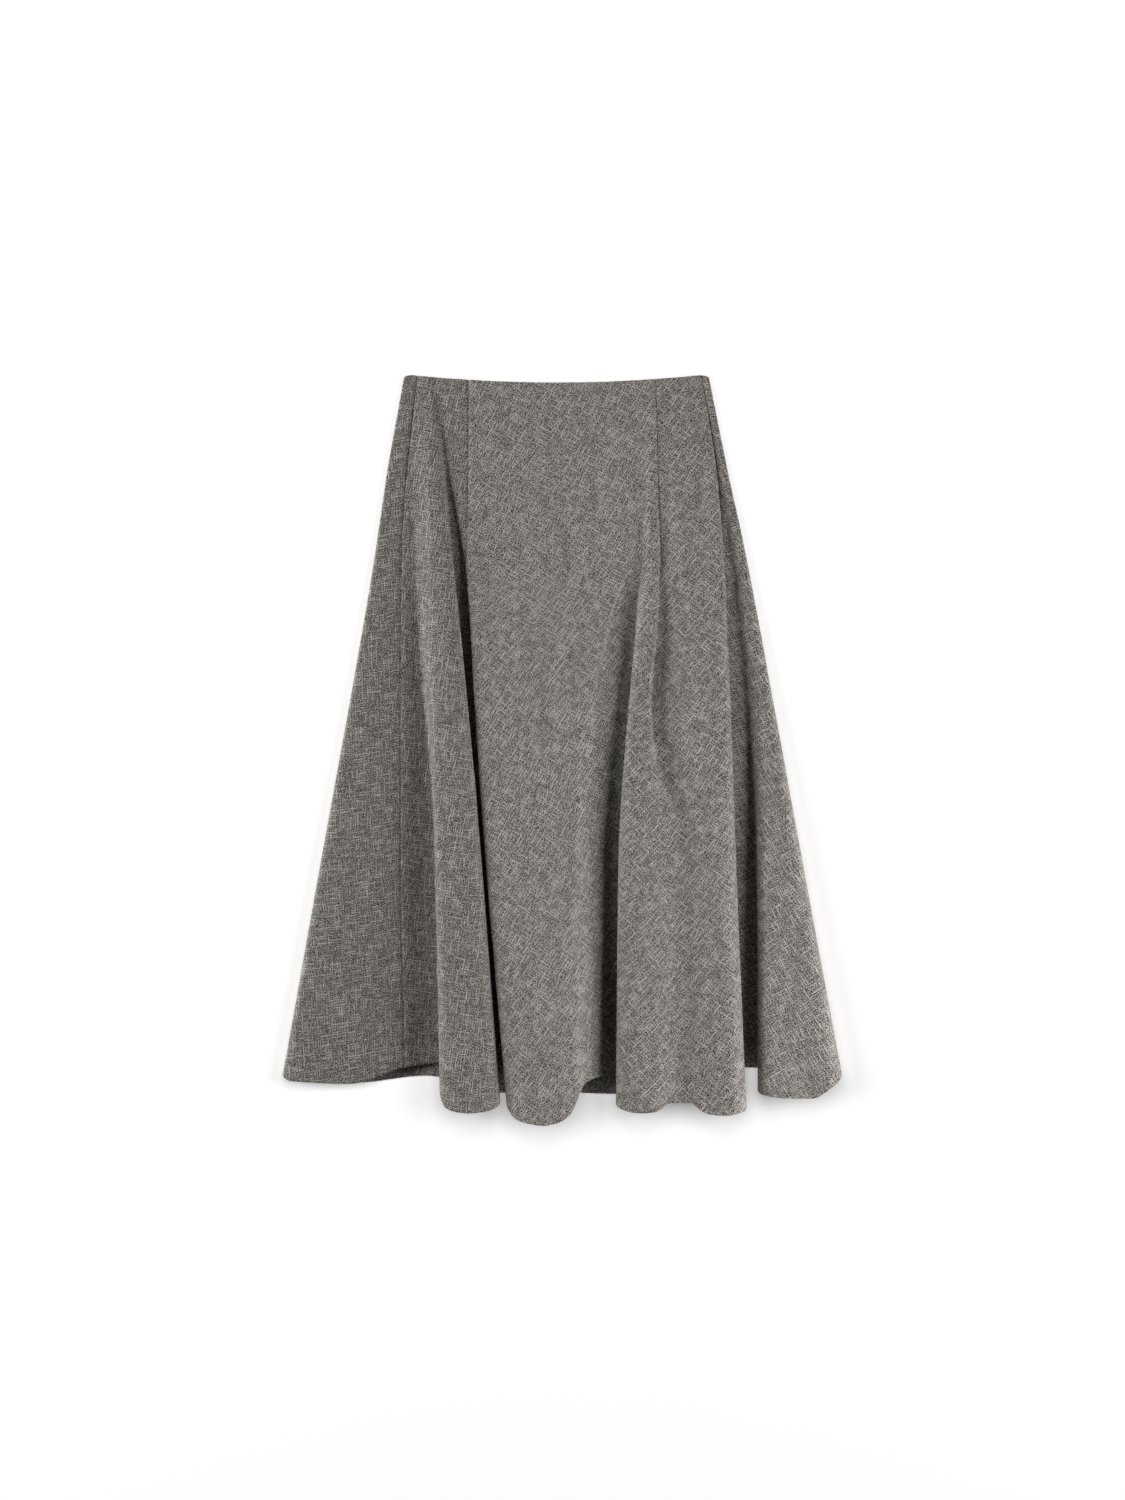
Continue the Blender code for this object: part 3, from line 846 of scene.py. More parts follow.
@dataclass
class Grid:
    """Points of the middle of one panel, row by row down from the waist, with cloth distances."""

    middle: np.ndarray
    across: np.ndarray  # along the cloth from the panel's centre line
    down: np.ndarray  # along the cloth from the waist edge
    to_left: np.ndarray  # along the cloth to the left seam
    to_right: np.ndarray
    to_hem: np.ndarray

    def normals(self) -> np.ndarray:
        """Unit normals on the outer side of the cloth."""
        normal = np.cross(np.gradient(self.middle, axis=0), np.gradient(self.middle, axis=1))
        return normal / np.maximum(np.linalg.norm(normal, axis=2), TINY)[:, :, None]

    def flat_size(self) -> tuple[float, float]:
        """Measures the flat panel.

        Returns:
            Its greatest width and length in metres.
        """
        width = float(self.across[:, -1].max() - self.across[:, 0].min())
        length = float(self.down[-1].max() - self.down[0].min())
        return width * MM, length * MM

    def flat_area(self) -> float:
        """Measures the cloth, as two triangles to a cell.

        Returns:
            Its area in square metres.
        """
        points = self.middle
        one = np.cross(points[1:, :-1] - points[:-1, :-1], points[:-1, 1:] - points[:-1, :-1])
        two = np.cross(points[1:, :-1] - points[1:, 1:], points[:-1, 1:] - points[1:, 1:])
        doubled = np.linalg.norm(one, axis=2) + np.linalg.norm(two, axis=2)
        return float(doubled.sum() / 2) * MM * MM


@dataclass(frozen=True)
class SeamWork:
    """How the sewing and the turned hem show on the cloth."""

    groove: float = 1.3
    groove_width: float = 0.95
    groove_inside: float = 0.65
    allowance: float = 13.0
    allowance_lift: float = 0.22
    allowance_begins: tuple = (1.2, 3.0)  # from the seam
    allowance_ends: tuple = (-2.5, 1.5)  # past the allowance
    hem_depth: float = 21.0
    hem_lift: float = 0.28
    hem_step: tuple = (-2.0, 1.5)  # above the turned hem
    hem_thickness: float = 1.1
    hem_fold: float = 0.6
    waist_roll: float = 0.9
    waist_roll_width: float = 4.0
    softens: tuple = (120.0, 330.0)  # between these drops a seam goes over to its look at the hem
    columns_by_seam: tuple = (0.0, 0.55, 1.2, 2.1, 3.6, 6.5)
    crispness: dict = field(default_factory=lambda: {
        Seam.BACK_FROM_LEFT: (1.0, 1.0),  # of the groove at the waist and at the hem
        Seam.LEFT_SIDE: (1.0, 0.45),
        Seam.LEFT_GODET_LEFT: (0.9, 0.2),
        Seam.LEFT_GODET_RIGHT: (0.9, 0.2),
        Seam.RIGHT_GODET_LEFT: (0.9, 0.15),
        Seam.RIGHT_GODET_RIGHT: (0.9, 0.15),
        Seam.RIGHT_SIDE: (1.0, 0.45),
        Seam.BACK_FROM_RIGHT: (1.0, 1.0),
    })

    def fading(self, seam: Seam, grid: Grid) -> np.ndarray:
        """How crisp a seam is at each row, from 0 to 1."""
        high, low = self.crispness[seam]
        return high + (low - high) * smooth_step(*self.softens, grid.down)

    def groove_shape(self, gap: np.ndarray) -> np.ndarray:
        """1 on a seam and 0 well away from it."""
        return np.exp(-((gap / self.groove_width) ** 2))

    def outward(self, grid: Grid, upward: np.ndarray, seams: tuple[Seam, Seam]) -> np.ndarray:
        """How far the outer side of the cloth is moved out by the sewing.

        Args:
            grid: The middle of the panel.
            upward: The height part of its normals.
            seams: The seams on its left and right.

        Returns:
            A distance for each point of the grid.
        """
        moved = np.zeros(grid.across.shape)
        ends = (self.allowance + self.allowance_ends[0], self.allowance + self.allowance_ends[1])
        for gap, seam in zip((grid.to_left, grid.to_right), seams):
            crisp = self.fading(seam, grid)
            moved -= self.groove * crisp * self.groove_shape(gap)
            band = smooth_step(*self.allowance_begins, gap) * (1 - smooth_step(*ends, gap))
            moved += self.allowance_lift * crisp * band
        step = (self.hem_depth + self.hem_step[0], self.hem_depth + self.hem_step[1])
        moved += self.hem_lift * (1 - smooth_step(*step, grid.to_hem))
        waist = np.exp(-((grid.down / self.waist_roll_width) ** 2))
        moved -= self.waist_roll * waist * np.clip(upward, 0, 1)
        return moved

    def inward(self, grid: Grid) -> np.ndarray:
        """How far the inner side of the cloth is moved in by the turned hem and the grooves.

        Args:
            grid: The panel's grid.

        Returns:
            A distance for each point of the grid.
        """
        step = (self.hem_depth - self.hem_fold, self.hem_depth + self.hem_fold)
        moved = self.hem_thickness * (1 - smooth_step(*step, grid.to_hem))
        for gap in (grid.to_left, grid.to_right):
            moved += self.groove_inside * self.groove_shape(gap)
        return moved


@dataclass(frozen=True)
class Softness:
    """Slow waves and listed creases that keep the cloth from lying quite smooth."""

    wave: float = 0.42
    waves: int = 7
    longest_wave: float = 210.0
    shortening: float = 0.55
    weakening: float = 0.5
    veer: float = 0.5  # greatest turn of a wave from the cloth's own directions, in radians
    calm_by_seams: float = 25.0
    crease_bow: float = 0.08  # of the crease's length
    crease_begins: tuple = (-0.15, 0.35)
    crease_ends: tuple = (0.65, 1.15)
    creased_side: float = 0.15  # least height part of the normal where a crease shows
    full_side: float = 0.3  # and where all of it shows
    creases: tuple = ()

    def outward(self, grid: Grid, panel: str, upward: np.ndarray) -> np.ndarray:
        """How far the cloth is moved along its normal.

        Args:
            grid: The middle of the panel.
            panel: Name of the panel, which also seeds its waves.
            upward: The height part of its normals.

        Returns:
            A distance for each point of the grid.
        """
        seed = sum(ord(letter) for letter in panel)
        moved = np.zeros(grid.across.shape)
        turns = np.random.default_rng(seed).uniform(0, 2 * math.pi, (self.waves, 3))
        for i, (phase, direction, other) in enumerate(turns):
            length = self.longest_wave / (1 + self.shortening * i)
            angle = self.veer * math.sin(direction) + (math.pi / 2 if i % 2 else 0.0)
            wave = (grid.across * math.cos(angle) + grid.down * math.sin(angle)) / length
            moved += np.sin(2 * math.pi * wave + phase) * math.cos(other) / (1 + self.weakening * i)
        moved *= self.wave * smooth_step(0, self.calm_by_seams, np.minimum(grid.to_left, grid.to_right))
        for crease in self.creases:
            if crease.panel == panel:
                moved -= self._crease_depth(crease, grid) * (upward > self.creased_side)
        return moved * smooth_step(0.0, self.full_side, upward)

    def _crease_depth(self, crease: Crease, grid: Grid) -> np.ndarray:
        """Depth of one crease over a panel.

        Args:
            crease: The crease.
            grid: The middle of the panel.

        Returns:
            A depth for each point of the grid.
        """
        x = grid.middle[:, :, 0] - crease.x0
        drop = -grid.middle[:, :, 1] - crease.drop0
        run = np.array([crease.x1 - crease.x0, crease.drop1 - crease.drop0])
        length = float(np.hypot(*run))
        part = (x * run[0] + drop * run[1]) / length**2
        aside = (x * run[1] - drop * run[0]) / length
        aside = aside - self.crease_bow * length * np.sin(math.pi * np.clip(part, 0, 1))
        ends = smooth_step(*self.crease_begins, part) * (1 - smooth_step(*self.crease_ends, part))
        return crease.depth * ends * np.exp(-((aside / crease.width) ** 2))


@dataclass
class ClothPanel:
    """One panel of cloth: a thin shell between two seams, sewn to its neighbours."""

    name: str
    left: Seam
    right: Seam
    grain: float  # direction of the warp from the panel's centre line, in degrees
    first_share: float = 0.0
    rests_on: tuple = ("table_surface",)
    melange_with_painted_light: float = 1.0  # how strongly its light and dark yarns differ; values below 1.0 are painted light, copying how weakly the light shows the yarns on that panel, and they also make it a little darker
    wall: float = 1.5
    lowest: float = 0.01
    seam_gap: float = 0.06
    row_step: float = 4.2
    measured_length: float = 800.0
    cloth_length: float = 790.0
    edge_reach: float = 0.8
    sharpest: float = 60.0  # degrees
    fewest_columns: int = 8
    by_waist: tuple = (0.0, 0.0012, 0.0025)  # shares of extra rows
    by_turned_hem: tuple = (0.958, 0.9605, 0.963, 0.9655)
    by_hem_edge: tuple = (0.9975, 0.9988)
    by_apex: float = 0.004
    by_seam: float = 0.3  # of the panel's width, the most that the close columns take
    widest_at: tuple = (0.3, 0.45, 0.67, 1.0)

    def shares(self) -> list[float]:
        """Shares of the rows, closer at the waist, the turned hem and the hem edge.

        Returns:
            The shares, from the top of the panel to the hem.
        """
        even = np.linspace(0, 1, int(self.measured_length / self.row_step) + 1)
        rows = {*np.round(even, 5), *self.by_waist, *self.by_turned_hem, *self.by_hem_edge}
        if self.first_share > 0:
            rows |= {self.first_share, round(self.first_share + self.by_apex, 5)}
        return [float(share) for share in sorted(rows) if share >= self.first_share - TINY]

    def columns(self, skirt: Skirt) -> int:
        """How many columns the panel needs where it is widest and most bent.

        Args:
            skirt: The tube of cloth that the panel is cut from.

        Returns:
            The number of columns.
        """
        most = 0.0
        for share in self.widest_at:
            seams = skirt.seams(share)
            ends = skirt.section(share).crowding_at([seams[self.left], seams[self.right]])
            most = max(most, float(ends[1] - ends[0]))
        return max(self.fewest_columns, round(most))

    def grid(self, skirt: Skirt, work: SeamWork) -> Grid:
        """The middle surface of the panel.

        Args:
            skirt: The tube of cloth that the panel is cut from.
            work: The sewing, which needs columns near the seams.

        Returns:
            The points and their distances along the cloth.
        """
        count = self.columns(skirt)
        offsets = np.array(work.columns_by_seam)
        rows: dict[str, list] = {"middle": [], "across": [], "to_left": [], "to_right": []}
        shares = self.shares()
        for share in shares:
            sect = skirt.section(share)
            seams = skirt.seams(share)
            left = seams[self.left] + self.seam_gap / 2
            right = seams[self.right] - self.seam_gap / 2
            near = offsets * min(1.0, self.by_seam * (right - left) / offsets[-1])
            inside = sect.spread(left + near[-1], right - near[-1], count)
            lengths = np.concatenate([left + near[:-1], inside, (right - near[:-1])[::-1]])
            rows["middle"].append(skirt.points(sect, lengths))
            rows["across"].append(lengths - (left + right) / 2)
            rows["to_left"].append(lengths - left)
            rows["to_right"].append(right - lengths)
        middle = np.array(rows["middle"])
        steps = np.linalg.norm(np.diff(middle, axis=0), axis=2)
        down = np.vstack([np.zeros((1, middle.shape[1])), np.cumsum(steps, axis=0)])
        down += shares[0] * self.cloth_length
        return Grid(
            middle=middle,
            across=np.array(rows["across"]),
            down=down,
            to_left=np.array(rows["to_left"]),
            to_right=np.array(rows["to_right"]),
            to_hem=down[-1:] - down,
        )

    def build(self, grid: Grid, work: SeamWork, softness: Softness) -> bpy.types.Object:
        """Makes the panel's mesh.

        Args:
            grid: The middle surface of the panel.
            work: How the sewing and the turned hem show.
            softness: The waves and creases.

        Returns:
            The object, named after the panel.
        """
        normal = grid.normals()
        upward = normal[:, :, 2]
        soft = softness.outward(grid, self.name, upward)
        out = self.wall / 2 + work.outward(grid, upward, (self.left, self.right)) + soft
        into = self.wall / 2 + work.inward(grid) - soft
        outer = grid.middle + normal * out[:, :, None]
        inner = grid.middle - normal * into[:, :, None]
        outer[:, :, 2] = np.maximum(outer[:, :, 2], self.lowest)
        flat = np.dstack([grid.across, -grid.down])
        return self._mesh(self._closed_rows(outer, inner), self._closed_rows(flat, flat), len(outer))

    def _edge_rows(self, upper: np.ndarray, lower: np.ndarray, before: np.ndarray) -> list[np.ndarray]:
        """Rows of points round an edge of the cloth.

        Args:
            upper: The row that the edge begins at.
            lower: The row that it ends at.
            before: The row before the first of these.

        Returns:
            Three rows on a half circle between the two, or the same row where the two are one.
        """
        if np.array_equal(upper, lower):
            return [upper, upper, upper]
        middle = (upper + lower) / 2
        away = upper - before
        away /= np.maximum(np.linalg.norm(away, axis=1), TINY)[:, None]
        reach = np.minimum(np.linalg.norm(upper - lower, axis=1) / 2, self.edge_reach)[:, None]
        rows = []
        for angle in (45, 90, 135):
            turned = math.radians(angle)
            rows.append(middle + (upper - middle) * math.cos(turned) + away * reach * math.sin(turned))
        return rows

    def _closed_rows(self, outer: np.ndarray, inner: np.ndarray) -> np.ndarray:
        """Joins the two sides of the shell.

        Args:
            outer: Rows of the outer side, from the waist to the hem.
            inner: Rows of the inner side, in the same order.

        Returns:
            Rows down the outer side, round the hem, up the inner side and round the waist edge.
        """
        hem = self._edge_rows(outer[-1], inner[-1], outer[-2])
        waist = self._edge_rows(inner[0], outer[0], inner[1])
        return np.array([*outer, *hem, *inner[::-1], *waist])

    def _mesh(self, loop: np.ndarray, flat: np.ndarray, rows: int) -> bpy.types.Object:
        """A closed shell from rows that go round it.

        Args:
            loop: Points of the rows, in the tables' millimetres.
            flat: Places of the same points on the flat cloth.
            rows: How many of the rows lie on the outer side.

        Returns:
            The object.
        """
        count, across = loop.shape[:2]
        faces: list[tuple] = []
        steps = np.arange(across - 1)
        for i in range(count):
            a = steps + i * across
            b = steps + (i + 1) % count * across
            faces += [tuple(face) for face in np.column_stack([a, b, b + 1, a + 1])]
        last = count - 4  # the inner row at the waist
        strips = [(row, last - row, last - row - 1, row + 1) for row in range(rows - 1)]
        strips.append((rows - 1, rows + 3, rows + 2, rows + 1, rows))
        strips.append((0, count - 1, count - 2, count - 3, last))
        for strip in strips:
            faces.append(tuple(row * across for row in strip))
            faces.append(tuple(row * across + across - 1 for row in reversed(strip)))
        mesh = bpy.data.meshes.new(self.name + "_cloth")
        mesh.from_pydata(((loop.reshape(-1, 3) + FRAME_SHIFT) * MM).tolist(), [], faces)
        layer = mesh.uv_layers.new(name="cloth")
        corners = np.empty(len(mesh.loops), dtype=np.int32)
        mesh.loops.foreach_get("vertex_index", corners)
        layer.data.foreach_set("uv", (flat.reshape(-1, 2)[corners] * MM).astype(np.float32).ravel())
        mesh.shade_smooth()
        mesh.set_sharp_from_angle(angle=math.radians(self.sharpest))
        mesh.update()
        made = bpy.data.objects.new(self.name + "_cloth", mesh)
        bpy.context.scene.collection.objects.link(made)
        return made


class Wiring:
    """Adds nodes to one tree, joined to what feeds them."""

    NOISE_ROUGHNESS = 0.6

    def __init__(self, tree: bpy.types.NodeTree) -> None:
        """Keeps the tree."""
        self.tree = tree

    def maths(self, kind: str, *values: bpy.types.NodeSocket | float) -> bpy.types.NodeSocket:
        """One arithmetic node.

        Args:
            kind: Name of the operation.
            values: Sockets or numbers that feed it, in order.

        Returns:
            The socket with its result.
        """
        node = self.tree.nodes.new("ShaderNodeMath")
        node.operation = kind
        for socket, value in zip(node.inputs, values):
            if isinstance(value, bpy.types.NodeSocket):
                self.tree.links.new(value, socket)
            else:
                socket.default_value = value
        return node.outputs[0]

    def noise(
        self, source: bpy.types.NodeSocket, length: float, width: float, detail: float, offset: float
    ) -> bpy.types.Node:
        """Flat noise, drawn out along one direction.

        Args:
            source: A place in metres.
            length: Length of its patches in metres.
            width: Their width.
            detail: How many finer octaves it has.
            offset: Keeps it apart from other noises.

        Returns:
            The noise node.
        """
        shape = self.tree.nodes.new("ShaderNodeMapping")
        shape.inputs["Scale"].default_value = (1 / length, 1 / width, 1.0)
        shape.inputs["Location"].default_value = (offset, -offset, offset)
        made = self.tree.nodes.new("ShaderNodeTexNoise")
        made.noise_dimensions = "2D"
        made.inputs["Scale"].default_value = 1.0
        made.inputs["Detail"].default_value = detail
        made.inputs["Roughness"].default_value = self.NOISE_ROUGHNESS
        self.tree.links.new(source, shape.inputs["Vector"])
        self.tree.links.new(shape.outputs["Vector"], made.inputs["Vector"])
        return made

    def about_zero(self, noise: bpy.types.Node, gain: float) -> bpy.types.NodeSocket:
        """A noise spread evenly about zero, with a strength."""
        return self.maths("MULTIPLY_ADD", noise.outputs["Fac"], gain, -0.5 * gain)


@dataclass(frozen=True)
class YarnWeave:
    """The pattern of the cloth: crossed yarns with light slubs, ribs, specks and slow clouds."""

    thread_pitch: float = 0.0027  # metres, as are the lengths and sizes below
    thread_length: float = 0.016
    thread_width: float = 0.0018
    warp_gain: float = 4.4
    weft_gain: float = 3.5
    darkest_thread: float = -0.18
    wander: float = 0.002
    wander_length: float = 0.009
    rib_gain: float = 0.1
    speck_size: float = 0.00095
    speck_gain: float = 3.6
    cloud_size: float = 0.024
    cloud_gain: float = 0.09
    strength: float = 1.8
    middle_tone: float = 0.5
    wander_offset: float = 7.0  # the offsets keep the noises apart
    warp_offset: float = 29.0
    weft_offset: float = 53.0
    speck_offset: float = 41.0
    cloud_offset: float = 5.0

    def group(self) -> bpy.types.NodeTree:
        """Makes the shared group.

        Returns:
            A group that takes a place in metres on the flat cloth and a contrast, and puts out
            a tone from 0 to 1 and a height.
        """
        tree = bpy.data.node_groups.new("crossed yarns", "ShaderNodeTree")
        for name, kind in (("Place", "NodeSocketVector"), ("Contrast", "NodeSocketFloat")):
            tree.interface.new_socket(name, in_out="INPUT", socket_type=kind)
        for name in ("Tone", "Height"):
            tree.interface.new_socket(name, in_out="OUTPUT", socket_type="NodeSocketFloat")
        given = tree.nodes.new("NodeGroupInput").outputs
        result = tree.nodes.new("NodeGroupOutput").inputs
        wiring = Wiring(tree)
        place = given["Place"]
        specks = wiring.noise(place, self.speck_size, self.speck_size, 0.0, self.speck_offset)
        speck = wiring.about_zero(specks, self.speck_gain)
        clouds = wiring.noise(place, self.cloud_size, self.cloud_size, 2.0, self.cloud_offset)
        cloud = wiring.about_zero(clouds, self.cloud_gain)
        threads = self._threads(wiring, self._wandering(wiring, place))
        cloth = wiring.maths("MULTIPLY", wiring.maths("ADD", threads, speck), self.strength)
        tone = wiring.maths("MULTIPLY_ADD", cloth, given["Contrast"], self.middle_tone)
        tree.links.new(wiring.maths("ADD", tone, cloud), result["Tone"])
        tree.links.new(cloth, result["Height"])
        return tree

    def _wandering(self, wiring: Wiring, place: bpy.types.NodeSocket) -> bpy.types.NodeSocket:
        """The place, moved a little so that the yarns don't run quite straight.

        Args:
            wiring: The group's wiring.
            place: The place on the flat cloth.

        Returns:
            The moved place.
        """
        shift = wiring.noise(place, self.wander_length, self.wander_length, 1.0, self.wander_offset)
        moved = wiring.tree.nodes.new("ShaderNodeVectorMath")
        moved.operation = "MULTIPLY_ADD"
        moved.inputs[1].default_value = (self.wander,) * 3
        wiring.tree.links.new(shift.outputs["Color"], moved.inputs[0])
        wiring.tree.links.new(place, moved.inputs[2])
        return moved.outputs["Vector"]

    def _threads(self, wiring: Wiring, place: bpy.types.NodeSocket) -> bpy.types.NodeSocket:
        """Warp and weft yarns, lighter and darker along their length, and the ribs that they form.

        Args:
            wiring: The group's wiring.
            place: The place on the flat cloth.

        Returns:
            The socket with their lightness about zero.
        """
        parts = wiring.tree.nodes.new("ShaderNodeSeparateXYZ")
        wiring.tree.links.new(place, parts.inputs["Vector"])
        turns = 2 * math.pi / self.thread_pitch
        weft_ribs, warp_ribs = (
            wiring.maths("SINE", wiring.maths("MULTIPLY", part, turns))
            for part in (parts.outputs["X"], parts.outputs["Y"])
        )
        lengthwise = wiring.noise(place, self.thread_length, self.thread_width, 1.0, self.warp_offset)
        crosswise = wiring.noise(place, self.thread_width, self.thread_length, 1.0, self.weft_offset)
        warp = wiring.about_zero(lengthwise, self.warp_gain)
        weft = wiring.about_zero(crosswise, self.weft_gain)
        yarns = []
        for yarn, ribs in ((warp, warp_ribs), (weft, weft_ribs)):
            light = wiring.maths("MAXIMUM", yarn, self.darkest_thread)
            yarns.append(wiring.maths("MULTIPLY", light, wiring.maths("MULTIPLY_ADD", ribs, 0.5, 0.5)))
        ribs = wiring.maths("MULTIPLY", wiring.maths("ADD", weft_ribs, warp_ribs), self.rib_gain)
        return wiring.maths("ADD", wiring.maths("ADD", *yarns), ribs)


@dataclass(frozen=True)
class Wool:
    """The finish of the cloth: a matt mix of grey and brown yarns."""

    dark: tuple = (0.022, 0.020, 0.018, 1.0)
    ground: tuple = (0.158, 0.146, 0.134, 1.0)
    light: tuple = (0.620, 0.580, 0.535, 1.0)
    roughness: float = 0.92
    sheen: float = 0.12
    sheen_roughness: float = 0.6
    specular: float = 0.12
    relief: float = 0.18
    relief_depth: float = 0.0006

    def material(
        self, name: str, grain: float, melange_with_painted_light: float, yarns: bpy.types.NodeTree
    ) -> bpy.types.Material:
        """A material with its yarns turned to a panel's grain.

        Args:
            name: Name of the material.
            grain: Direction of the warp on the panel, in degrees.
            melange_with_painted_light: How strongly light and dark yarns differ on the panel; values below
                1.0 are painted light.
            yarns: The shared group that draws the yarns.

        Returns:
            The material.
        """
        made = bpy.data.materials.new(name)
        made.use_nodes = True
        tree = made.node_tree
        shader = tree.nodes["Principled BSDF"]
        shader.inputs["Roughness"].default_value = self.roughness
        shader.inputs["Specular IOR Level"].default_value = self.specular
        shader.inputs["Sheen Weight"].default_value = self.sheen
        shader.inputs["Sheen Roughness"].default_value = self.sheen_roughness
        place = tree.nodes.new("ShaderNodeUVMap")
        place.uv_map = "cloth"
        turn = tree.nodes.new("ShaderNodeVectorRotate")
        turn.rotation_type = "Z_AXIS"
        turn.inputs["Angle"].default_value = -math.radians(grain)
        group = tree.nodes.new("ShaderNodeGroup")
        group.node_tree = yarns
        group.inputs["Contrast"].default_value = melange_with_painted_light
        ramp = tree.nodes.new("ShaderNodeValToRGB")
        ramp.color_ramp.elements[0].color = self.dark
        ramp.color_ramp.elements[1].color = self.light
        ramp.color_ramp.elements.new(0.5).color = self.ground
        bump = tree.nodes.new("ShaderNodeBump")
        bump.inputs["Strength"].default_value = self.relief
        bump.inputs["Distance"].default_value = self.relief_depth
        tree.links.new(place.outputs["UV"], turn.inputs["Vector"])
        tree.links.new(turn.outputs["Vector"], group.inputs["Place"])
        tree.links.new(group.outputs["Tone"], ramp.inputs["Fac"])
        tree.links.new(ramp.outputs["Color"], shader.inputs["Base Color"])
        tree.links.new(group.outputs["Height"], bump.inputs["Height"])
        tree.links.new(bump.outputs["Normal"], shader.inputs["Normal"])
        return made


@dataclass(frozen=True)
class ZipFinish:
    """The plain finish of one part of the zip."""

    colour: tuple
    roughness: float
    metallic: float = 0.0
    mottle: float = 0.25  # how much lighter and darker its flecks are
    fleck_scale: float = 900.0

    def shade(self, lightness: float) -> tuple:
        """The colour made lighter or darker."""
        return tuple(min(1.0, lightness * part) for part in self.colour[:3]) + (1.0,)

    def material(self, name: str) -> bpy.types.Material:
        """A material with faint flecks.

        Args:
            name: Name of the material.

        Returns:
            The material.
        """
        made = bpy.data.materials.new(name)
        made.use_nodes = True
        tree = made.node_tree
        shader = tree.nodes["Principled BSDF"]
        shader.inputs["Roughness"].default_value = self.roughness
        shader.inputs["Metallic"].default_value = self.metallic
        flecks = tree.nodes.new("ShaderNodeTexNoise")
        flecks.inputs["Scale"].default_value = self.fleck_scale
        mix = tree.nodes.new("ShaderNodeMix")
        mix.data_type = "RGBA"
        mix.inputs["A"].default_value = self.shade(1 - self.mottle)
        mix.inputs["B"].default_value = self.shade(1 + self.mottle)
        place = tree.nodes.new("ShaderNodeTexCoord")
        tree.links.new(place.outputs["Object"], flecks.inputs["Vector"])
        tree.links.new(flecks.outputs["Fac"], mix.inputs["Factor"])
        tree.links.new(mix.outputs["Result"], shader.inputs["Base Color"])
        return made


class ZipPart:
    """The points and faces of one part of the zip, in the tables' millimetres."""

    SIDES = ((0, 1, 3, 2), (4, 6, 7, 5), (0, 4, 5, 1), (2, 3, 7, 6), (0, 2, 6, 4), (1, 5, 7, 3))

    def __init__(self, name: str, finish: ZipFinish) -> None:
        """Starts with no points.

        Args:
            name: Name of the object.
            finish: Its finish.
        """
        self.name = name
        self.finish = finish
        self.points: list[tuple] = []
        self.faces: list[tuple] = []

    def add_block(self, x: tuple, drop: tuple, height: tuple) -> None:
        """Adds a block.

        Args:
            x: Its least and greatest x.
            drop: Where it begins and ends down from the waist.
            height: Its lowest and highest place.
        """
        first = len(self.points)
        self.points += [(a, -b, c) for c in height for b in drop for a in x]
        self.faces += [tuple(first + corner for corner in side) for side in self.SIDES]

    def build(self) -> bpy.types.Object:
        """Makes the object.

        Returns:
            The object, with its finish.
        """
        mesh = bpy.data.meshes.new(self.name)
        mesh.from_pydata(((np.array(self.points) + FRAME_SHIFT) * MM).tolist(), [], self.faces)
        mesh.update()
        mesh.materials.append(self.finish.material(self.name))
        made = bpy.data.objects.new(self.name, mesh)
        bpy.context.scene.collection.objects.link(made)
        return made


